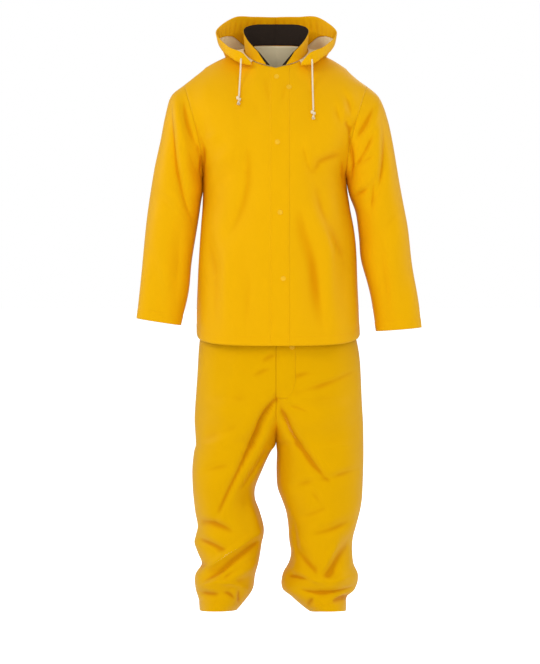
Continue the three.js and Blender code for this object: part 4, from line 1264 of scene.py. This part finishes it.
def make_stitches(name, seams):
    """Stitches along seams, each a line of points with its normals: rounded bars of three sections."""
    points, faces = [], []
    for line, normals in seams:
        places, ahead = even_points(line, STITCH["pitch"])
        nearest = [np.argmin(np.linalg.norm(line - place, axis=1)) for place in places]
        up = unit(normals[nearest] - ahead * np.sum(normals[nearest] * ahead, axis=1, keepdims=True))
        across = np.cross(ahead, up)
        count, start = len(places), sum(len(p) for p in points)
        for shift, size in SECTIONS:
            centre = places + ahead * shift * STITCH["length"] + up * STITCH["rise"] * (size - 0.5)
            for u, v in CORNERS:
                points.append(centre + (across * u + up * v) * size * STITCH["width"] / 2)
        at = start + np.arange(12)[:, None] * count + np.arange(count)[None, :]  # 12 corners a stitch
        for ring in (0, 4):
            for k in range(4):
                n = (k + 1) % 4
                faces.append(np.stack([at[ring + k], at[ring + n], at[ring + 4 + n], at[ring + 4 + k]], 1))
        faces.append(np.stack([at[3], at[2], at[1], at[0]], 1))
        faces.append(np.stack([at[8], at[9], at[10], at[11]], 1))
    points, faces = np.concatenate(points), np.concatenate(faces)
    return keep(make_object(name, points, faces, [thread], uv=view_uv(points, faces)))


def line_at(grid, normals, distance, last):
    """The line across a grid at a distance from its first or last row, with the normals there."""
    if last:
        grid, normals = grid[::-1], normals[::-1]
    along = lengths_along(grid)

    def at_distance(values):
        places = range(values.shape[1])
        rows = [[np.interp(distance, along[:, j], values[:, j, k]) for j in places] for k in range(3)]
        return np.array(rows).T

    return at_distance(grid), unit(at_distance(normals))


def row_at(p, distance, last=False):
    """The line across a panel at a distance from its first or last row, with the normals there."""
    return line_at(p["grid"], p["normals"], distance, last)


def column_at(p, distance, last=False):
    """The line along a panel at a distance from its first or last column, with the normals there."""
    return line_at(p["grid"].swapaxes(0, 1), p["normals"].swapaxes(0, 1), distance, last)


def edges_of(p):
    """Distance of each point to the panel's first and last row, and first and last column."""
    along, across = lengths_along(p["grid"]), lengths_across(p["grid"])
    return along, along[-1] - along, across, across[:, -1:] - across


# %% [markdown]
# ## The jacket
#
# The jacket is cut as two fronts, one back and two sleeves. All five are worked out together, so that the
# creases run over the seams. Each seam pulls the cloth in a little, and each hem is doubled.

# %% Jacket panels
STEPS_BODY = 96  # from hem to armpit
STEPS_ARMHOLE = 60  # from armpit to shoulder, and half the points round a sleeve
STEPS_ACROSS = 60  # from the centre to the side
STEPS_SLEEVE = 150
CLOTH = 0.8
HEM_DEPTH = 24
CUFF_DEPTH = 26
SOFT_REACH = 44  # grid columns of the sleeve on each side of the shoulder that are softened
SOFT_SPAN = 14  # grid steps that the softening runs over body and sleeve
SOFT_FADE = 16  # grid columns over which the softening fades out at both ends
SOFT_TIMES = 90
ARMPIT_LEVEL, ARMPIT_REACH, ARMPIT_TIMES = 1.03, 0.22, 120  # where and how often the armpit is evened out
SWELLING = {"sleeve": 6.5, "body": 4.0}  # towards each other, just below the armpit
SWELLING_Z, SWELLING_WIDTH = -322, 38

levels = np.concatenate(
    [np.linspace(0, 1, STEPS_BODY + 1), 1 + np.linspace(0, 1, STEPS_ARMHOLE + 1)[1:]]
)[:, None]
shares = np.linspace(0, 1, STEPS_ACROSS + 1)[None, :]
ring_turns = np.pi * np.arange(2 * STEPS_ARMHOLE)[None, :] / STEPS_ARMHOLE


def even_rings(side):
    """Ring numbers at even distances down the sleeve, measured along the rings' centres."""
    rings = np.linspace(0, SLEEVES[side]["key"][-1], 400)[:, None]
    centre = ring_point(side, rings, ring_turns).mean(axis=1)
    length = np.concatenate([[0], np.cumsum(np.linalg.norm(np.diff(centre, axis=0), axis=1))])
    return np.interp(np.linspace(0, length[-1], STEPS_SLEEVE + 1), length, rings[:, 0])[:, None]


def soften_shoulder(ahead, behind, sleeve):
    """Evens out body and sleeve together across the armhole seam, over the shoulder but not the armpit."""
    top = len(levels) - 1
    turns = np.arange(-SOFT_REACH, SOFT_REACH + 1)

    def body(k):
        return (behind if k < 0 else ahead)[top - abs(k), -SOFT_SPAN:]

    strip = np.array([np.concatenate([body(k), sleeve[1:SOFT_SPAN, k]]) for k in turns])
    fade = smooth_step((SOFT_REACH - np.abs(turns)) / SOFT_FADE)[:, None]
    from_seam = np.arange(2 * SOFT_SPAN - 1) - (SOFT_SPAN - 1)
    relax(strip, fade * bump_of(from_seam, 0.5 * SOFT_SPAN), SOFT_TIMES)
    for k, row in zip(turns, strip):
        body(k)[:] = row[:SOFT_SPAN]
        sleeve[:SOFT_SPAN, k] = row[SOFT_SPAN - 1 :]
    behind[top, -SOFT_SPAN:] = ahead[top, -SOFT_SPAN:]


def armpit_swelling(p):
    """Below the armpit the sleeve and the side swell towards each other, until they almost touch."""
    side = np.sign(p["grid"][..., 0]) * (-1 if p["ring"] else 1)
    facing = np.clip(side * p["normals"][..., 0], 0, 1) ** 2
    height = SWELLING["sleeve" if p["ring"] else "body"]
    return height * facing * bump_of(p["grid"][..., 2] - SWELLING_Z, SWELLING_WIDTH)


def jacket_sewing(p):
    """Height of seams, hems and swellings on a jacket panel."""
    first_row, last_row, first_column, _ = edges_of(p)
    if p["ring"]:
        under = np.abs(first_column - first_column[:, STEPS_ARMHOLE : STEPS_ARMHOLE + 1])
        return seam_dip(under) + hem_step(last_row, CUFF_DEPTH) + armpit_swelling(p)
    return seam_dip(last_row) + hem_step(first_row, HEM_DEPTH) + armpit_swelling(p)


fronts = {
    side: panel(f"jacket_front_{side}", body_point(side, "front", levels, shares)) for side in SIDE_SIGN
}
back_halves = {side: body_point(side, "back", levels, shares) for side in SIDE_SIGN}
back = panel(
    "jacket_back", np.concatenate([back_halves["right"][:, ::-1], back_halves["left"][:, 1:]], axis=1)
)
near_armpit = bump_of(levels - ARMPIT_LEVEL, ARMPIT_REACH) * smooth_step((shares - 0.35) / 0.4)
for p in fronts.values():
    relax(p["grid"], near_armpit, ARMPIT_TIMES)
near_both = np.concatenate([near_armpit[:, ::-1], near_armpit[:, 1:]], axis=1)
relax(back["grid"], near_both, ARMPIT_TIMES)
sleeves = {
    side: panel(f"sleeve_{side}", ring_point(side, even_rings(side), ring_turns), ring=True)
    for side in SIDE_SIGN
}
back_halves = {"right": back["grid"][:, STEPS_ACROSS::-1], "left": back["grid"][:, STEPS_ACROSS:]}
for side, sleeve in sleeves.items():
    soften_shoulder(fronts[side]["grid"], back_halves[side], sleeve["grid"])
jacket = [*fronts.values(), back, *sleeves.values()]
press(jacket, jacket_sewing)
print("jacket panels:", [p["grid"].shape[:2] for p in jacket])


# %% Jacket shells
TROUGH_BLUR = 14  # times that the cloth is averaged to find what lies below it
TROUGH_DEPTH = 2.0  # from here down a crease has the deep colour in full, as painted shade
TROUGH_POWER = 1.3


def paint_crease_shade(obj, p):
    """Stores how deep in a crease each point is, from 0 to 1: depth over TROUGH_DEPTH, to a power."""
    grid = whole_grid(p)
    blur = grid.copy()
    for _ in range(TROUGH_BLUR):
        blur[1:-1] = (blur[:-2] + 2 * blur[1:-1] + blur[2:]) / 4
        blur[:, 1:-1] = (blur[:, :-2] + 2 * blur[:, 1:-1] + blur[:, 2:]) / 4
        if p["ring"]:
            blur[:, 0] = blur[:, -1] = (blur[:, -2] + 2 * blur[:, 0] + blur[:, 1]) / 4
    below = (blur - grid)[:, : p["grid"].shape[1]]
    depth = np.sum(below * p["normals"], axis=-1).ravel() / TROUGH_DEPTH
    share = np.clip(depth, 0, 1) ** TROUGH_POWER
    # painted shade: the materials darken the cloth in its creases by this share
    attribute = obj.data.attributes.new("crease_shade", "FLOAT", "POINT")
    attribute.data.foreach_set("value", np.concatenate([share, share]).astype(np.float32))


def surface_of(p):
    """The panel's area in square metres."""
    return float(np.linalg.norm(cell_normals(whole_grid(p)), axis=-1).sum() / 2) * MM * MM


def sew(p, thickness=CLOTH, materials=(coated_cloth, backing_cloth)):
    name = p["name"] + "_cloth"
    obj = make_shell(name, p["grid"], p["normals"], thickness, materials, p["ring"], p["turned"])
    paint_crease_shade(obj, p)
    keep(obj, [p["name"]])
    widest, longest = lengths_across(p["grid"]).max(), lengths_along(p["grid"]).max()
    print(f"{p['name']}: {widest:.0f} by {longest:.0f} mm, {surface_of(p):.3f} square metres")
    return obj


for p in fronts.values():
    sew(p)
sew(back)
sew(sleeves["right"])
sew(sleeves["left"])
make_stitches("stitches_hem", [row_at(p, HEM_DEPTH) for p in (*fronts.values(), back)])
for side, p in sleeves.items():
    cuff = [np.concatenate([values, values[:1]]) for values in row_at(p, CUFF_DEPTH, last=True)]
    make_stitches(f"stitches_cuff_{side}", [cuff])

# %% [markdown]
# ## Strips on the front
#
# The storm flap covers the jacket's front opening and the fly placket that of the trousers. Both lie on
# the cloth behind them, so each row of a strip is read off the panels' final surface, at even steps across,
# and lifted by its own thickness. The creases of the panels then show in the strips too.


# %% Strips
def on_row(rows, x):
    """Points of a row of panel points at given distances from the middle."""
    order = np.argsort(rows[:, 0])
    return np.stack([np.interp(x, rows[order, 0], rows[order, k]) for k in range(3)], axis=-1)


STRIP_EDGE = 4.5  # from a strip's edge to its stitches
STRIP_LIFT = 0.9
STRIP_ROUND = 4  # width over which a strip's edge comes down
STRIP_FOOT = 0.12  # share of the lift that is left at the very edge
FLAP_RIGHT, FLAP_LEFT = -16, 35
FLY_WIDTH, FLY_TIP = 51, 12
FLY_TAPER_FROM, FLY_BOTTOM = -815, -876


def face_front(p):
    """Works out a panel's normals and turns it over if they point backwards."""
    share_normals([p])
    if p["normals"][..., 1].mean() > 0:
        turn_over(p)


def make_strip(name, row_points):
    """A strip as a panel: its rows lifted off the cloth, with a soft edge and the pull of its stitches."""
    p = panel(name, np.array(row_points))
    face_front(p)
    _, _, first_column, last_column = edges_of(p)
    edge = np.minimum(first_column, last_column)
    height = STRIP_LIFT * (STRIP_FOOT + (1 - STRIP_FOOT) * smooth_step(edge / STRIP_ROUND))
    lift(p, height - 0.25 * bump_of(edge - STRIP_EDGE, 1.4))
    face_front(p)
    return p


both_fronts = np.concatenate([fronts["right"]["grid"][:, :0:-1], fronts["left"]["grid"]], axis=1)
flap_x = np.linspace(FLAP_RIGHT, FLAP_LEFT, 35)
flap = make_strip("storm_flap", [on_row(row, flap_x) for row in both_fronts])
sew(flap)
make_stitches("stitches_flap", [column_at(flap, STRIP_EDGE), column_at(flap, STRIP_EDGE, last=True)])

# %% [markdown]
# ## The trousers
#
# Four panels make the legs. They are wide, and far too long for the wearer, so they bunch up in rings above
# the hem.

# %% Trouser panels
STEPS_LEG = 250
STEPS_LEG_ACROSS = 76
LEG_TOP, LEG_BOTTOM = -545, -1446
leg_heights = np.linspace(LEG_TOP, LEG_BOTTOM, STEPS_LEG + 1)[:, None]
leg_shares = np.linspace(0, 1, STEPS_LEG_ACROSS + 1)[None, :]
legs = {
    (face, side): panel(f"trouser_{face}_{side}", leg_point(side, face, leg_heights, leg_shares))
    for side in SIDE_SIGN
    for face in FACE_SIGN
}


def leg_sewing(p):
    """Height of the seams on both sides of a leg panel and of its hem."""
    _, last_row, first_column, last_column = edges_of(p)
    return seam_dip(np.minimum(first_column, last_column)) + hem_step(last_row, HEM_DEPTH)


press(list(legs.values()), leg_sewing)
for p in legs.values():
    sew(p, materials=(shaded_trouser_cloth, backing_cloth))
for side in SIDE_SIGN:
    leg_hem = [row_at(legs[face, side], HEM_DEPTH, last=True) for face in FACE_SIGN]
    make_stitches(f"stitches_leg_{side}", leg_hem)


# %% Fly placket
def fly_width(z):
    """Full width down to the taper, then the quarter of an ellipse down to the tip."""
    t = np.clip((FLY_TAPER_FROM - z) / (FLY_TAPER_FROM - FLY_BOTTOM), 0, 1)
    return FLY_TIP + (FLY_WIDTH - FLY_TIP) * math.sqrt(1 - t * t)


fly_rows = [row for row, z in zip(legs["front", "left"]["grid"], leg_heights[:, 0]) if z > FLY_BOTTOM]
fly = make_strip(
    "fly_placket", [on_row(row, np.linspace(0, fly_width(row[0, 2]), 25)) for row in fly_rows]
)
sew(fly, materials=(shaded_trouser_cloth, backing_cloth))
make_stitches("stitches_fly", [column_at(fly, STRIP_EDGE, last=True)])


# %% Waistband
BAND_TOP, BAND_BOTTOM = -503, -544
CHANNEL_HEIGHT = 13.7  # of each row of elastic
CHANNEL_BULGE = 0.8
GATHERS, GATHER_HEIGHT = 36, 2.3
BAND_CLOTH = 3.2  # the cloth is doubled over the elastic


def make_waistband():
    """A plain band of gathered cloth with elastic in it: a ring of waves on the trousers' top edge."""
    quarter = np.linspace(0, 1, 73)[:-1]
    ring = np.concatenate(
        [
            leg_point("right", "front", LEG_TOP, quarter),
            leg_point("right", "back", LEG_TOP, 1 - quarter),
            leg_point("left", "back", LEG_TOP, quarter),
            leg_point("left", "front", LEG_TOP, 1 - quarter),
        ]
    )
    turn = 2 * np.pi * np.arange(len(ring)) / len(ring)
    outward = unit((ring - (0, SIDE_Y, 0)) * (1, 1, 0))
    rows = []
    for z in np.linspace(BAND_BOTTOM, BAND_TOP, 15):
        channel = CHANNEL_BULGE * abs(math.sin(math.pi * (z - BAND_TOP) / CHANNEL_HEIGHT))
        gather = np.cos(GATHERS * turn + 0.4 * np.sin(3 * turn))
        wave = GATHER_HEIGHT * gather * (0.8 + 0.2 * math.cos((z + 523) / 9))
        rows.append((ring + outward * (wave + channel)[..., None]) * (1, 1, 0) + (0, 0, z))
    return panel("waistband", np.array(rows), ring=True)


waistband = make_waistband()
share_normals([waistband])
sew(waistband, thickness=BAND_CLOTH, materials=(coated_cloth,))

# %% [markdown]
# ## The collar
#
# The collar stands up and is open in a V at the throat. Its inside is faced with dark ribbed cloth, whose
# ribs run up to the edge and are raised in the mesh.

# %% Collar
RIB_PITCH = 3.0
RIB_HEIGHT = 0.4
FACING_CLOTH = 0.7
FACING_GAP = 0.9  # from the collar's inside to the valleys between the ribs


COLLAR_STITCH = 5  # from the edge to the stitches
COLLAR_BULGE = 0.8


def collar_grid(rows, columns, end, top):
    """A grid over the collar, from end to end and up to a share of its height."""
    turns = np.linspace(-end, end, columns + 1)
    share = np.linspace(0, top, rows + 1)
    grid = np.empty((rows + 1, columns + 1, 3))
    for j, turn in enumerate(turns):
        side = "right" if turn < 0 else "left"
        grid[:, j] = collar_point(side, abs(turn), share)
    return grid


collar = panel("collar", collar_grid(18, 150, 0.968, 0.965))
share_normals([collar])
foot, top, one_end, other_end = edges_of(collar)
edge = np.minimum(top, np.minimum(one_end, other_end))
bulge = COLLAR_BULGE * np.sin(np.pi * foot / (foot + top + 1e-9))
lift(collar, bulge - 0.6 * bump_of(edge - COLLAR_STITCH, 1.3) + 0.3 * slack(collar["grid"]))
share_normals([collar])
sew(collar)
make_stitches("stitches_collar", [row_at(collar, COLLAR_STITCH, last=True)])

facing = panel("collar_facing", collar_grid(12, 900, 1, 1))
share_normals([facing])
around = lengths_across(facing["grid"])
rib = np.abs(np.sin(np.pi * around / RIB_PITCH)) ** 0.8
lift(facing, -(CLOTH + FACING_GAP + RIB_HEIGHT * rib))
turn_over(facing)
facing_cloth = sew(facing, thickness=FACING_CLOTH, materials=(ribbed_facing,))

# %% [markdown]
# ## The hood
#
# The hood is worn down: it lies behind the collar as a pouch, and its front edge comes forward over both
# shoulders. That edge is a casing for the cord. The cloth is turned in there, so each profile of the mesh
# runs up the outside, rolls over the edge and comes down inside.

# %% Hood
STEPS_HOOD = 96
STEPS_PROFILE = 96
CASING = 42
ROLL = 1.5  # radius of the turned edge
PUCKER_PITCH = 19
PUCKER_HEIGHT = 0.7
CASING_BULGE = 0.8
HOOD_CLOTH = 0.9


def hood_half(side):
    """Half of the hood as a panel, from the centre seam to the front corner."""
    turns = np.linspace(0, 1, STEPS_HOOD + 1)[:, None]
    share = np.linspace(0, 1, STEPS_PROFILE + 1)[None, :]
    return panel(f"hood_{side}", hood_point(side, turns, share))


hoods = [hood_half(side) for side in SIDE_SIGN]
share_normals(hoods)
for p in hoods:
    first_row, _, first_column, to_rim = edges_of(p)
    along_rim = lengths_along(p["grid"])[:, -1:]
    pucker = np.sin(2 * np.pi * along_rim / PUCKER_PITCH + 1.3 * np.sin(along_rim / 41))
    height = slack(p["grid"]) * smooth_step(first_column / 40)
    height += seam_dip(first_row) - 1.0 * bump_of(to_rim - CASING, 2.2)
    on_casing = bump_of(to_rim - CASING * 0.75, CASING * 0.45) * smooth_step(to_rim / 12)
    height += PUCKER_HEIGHT * pucker * on_casing
    height += CASING_BULGE * np.sin(np.pi * np.clip(to_rim / CASING, 0, 1))
    lift(p, height)
share_normals(hoods)


def roll_in(p):
    """Adds the rolled edge and the cloth turned in behind it to each profile of the hood."""
    grid, normals = p["grid"], p["normals"]
    past = unit(grid[:, -1] - grid[:, -2])
    centre = grid[:, -1] - normals[:, -1] * ROLL
    roll = [
        centre + (normals[:, -1] * math.cos(turn) + past * math.sin(turn)) * ROLL
        for turn in np.linspace(0, math.pi, 7)[1:]
    ]
    count = int(np.argmax(lengths_across(grid[:, ::-1]).mean(axis=0) > CASING + 6))
    inside = (grid - normals * 2 * ROLL)[:, -count:][:, ::-1][:, 1:]
    p["grid"] = np.concatenate([grid, np.stack(roll, axis=1), inside], axis=1)


for p in hoods:
    roll_in(p)
share_normals(hoods)
for p in hoods:
    sew(p, thickness=HOOD_CLOTH)

# %% [markdown]
# ## Press studs
#
# Five studs close the jacket's flap and one the fly. Each cap is enamelled metal, turned round its axis: a
# raised rim, a shallow hollow and a dome in the middle.

# %% Studs
SNAP_PROFILE = (  # radius and height, from the middle outwards
    (0.01, 1.5),
    (1.2, 1.45),
    (2.4, 1.2),
    (3.2, 1.05),
    (4.2, 1.25),
    (5.2, 1.75),
    (5.8, 1.8),
    (6.3, 1.45),
    (6.5, 0.9),
    (6.45, 0.3),
    (6.2, 0.0),
)
STUD_CORNERS = 40
STUD_GAP = 0.1  # between the strip and the cap
SNAPS = {
    **{f"snap_{name}": flap for name in ("throat", "collar_side", "chest", "waist", "lower")},
    "snap_fly": fly,
}


def make_stud(name, strip):
    """A turned cap on the point of a strip that is nearest to the CAD stud's middle."""
    low, high = (np.array(corner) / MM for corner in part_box(name))
    middle = (low + high) / 2
    flat = strip["grid"].reshape(-1, 3)
    near = int(np.argmin(np.linalg.norm((flat - middle) * (1, 0, 1), axis=1)))
    axis = strip["normals"].reshape(-1, 3)[near]
    base = np.array((middle[0], flat[near][1], middle[2])) + axis * STUD_GAP
    first, second = square_to(base, axis)
    turn = 2 * np.pi * np.arange(STUD_CORNERS)[:, None] / STUD_CORNERS
    ring = first * np.cos(turn) + second * np.sin(turn)
    rings = [base + ring * radius + axis * height for radius, height in SNAP_PROFILE]
    points = np.concatenate(rings)
    faces = quads(closed(np.arange(len(points)).reshape(-1, STUD_CORNERS))).reshape(-1, 4)
    cap = make_object(name + "_cap", points, faces, [snap_enamel], uv=view_uv(points, faces))
    keep(cap, [name])


for name, strip in SNAPS.items():
    make_stud(name, strip)
print("studs:", len(SNAPS))
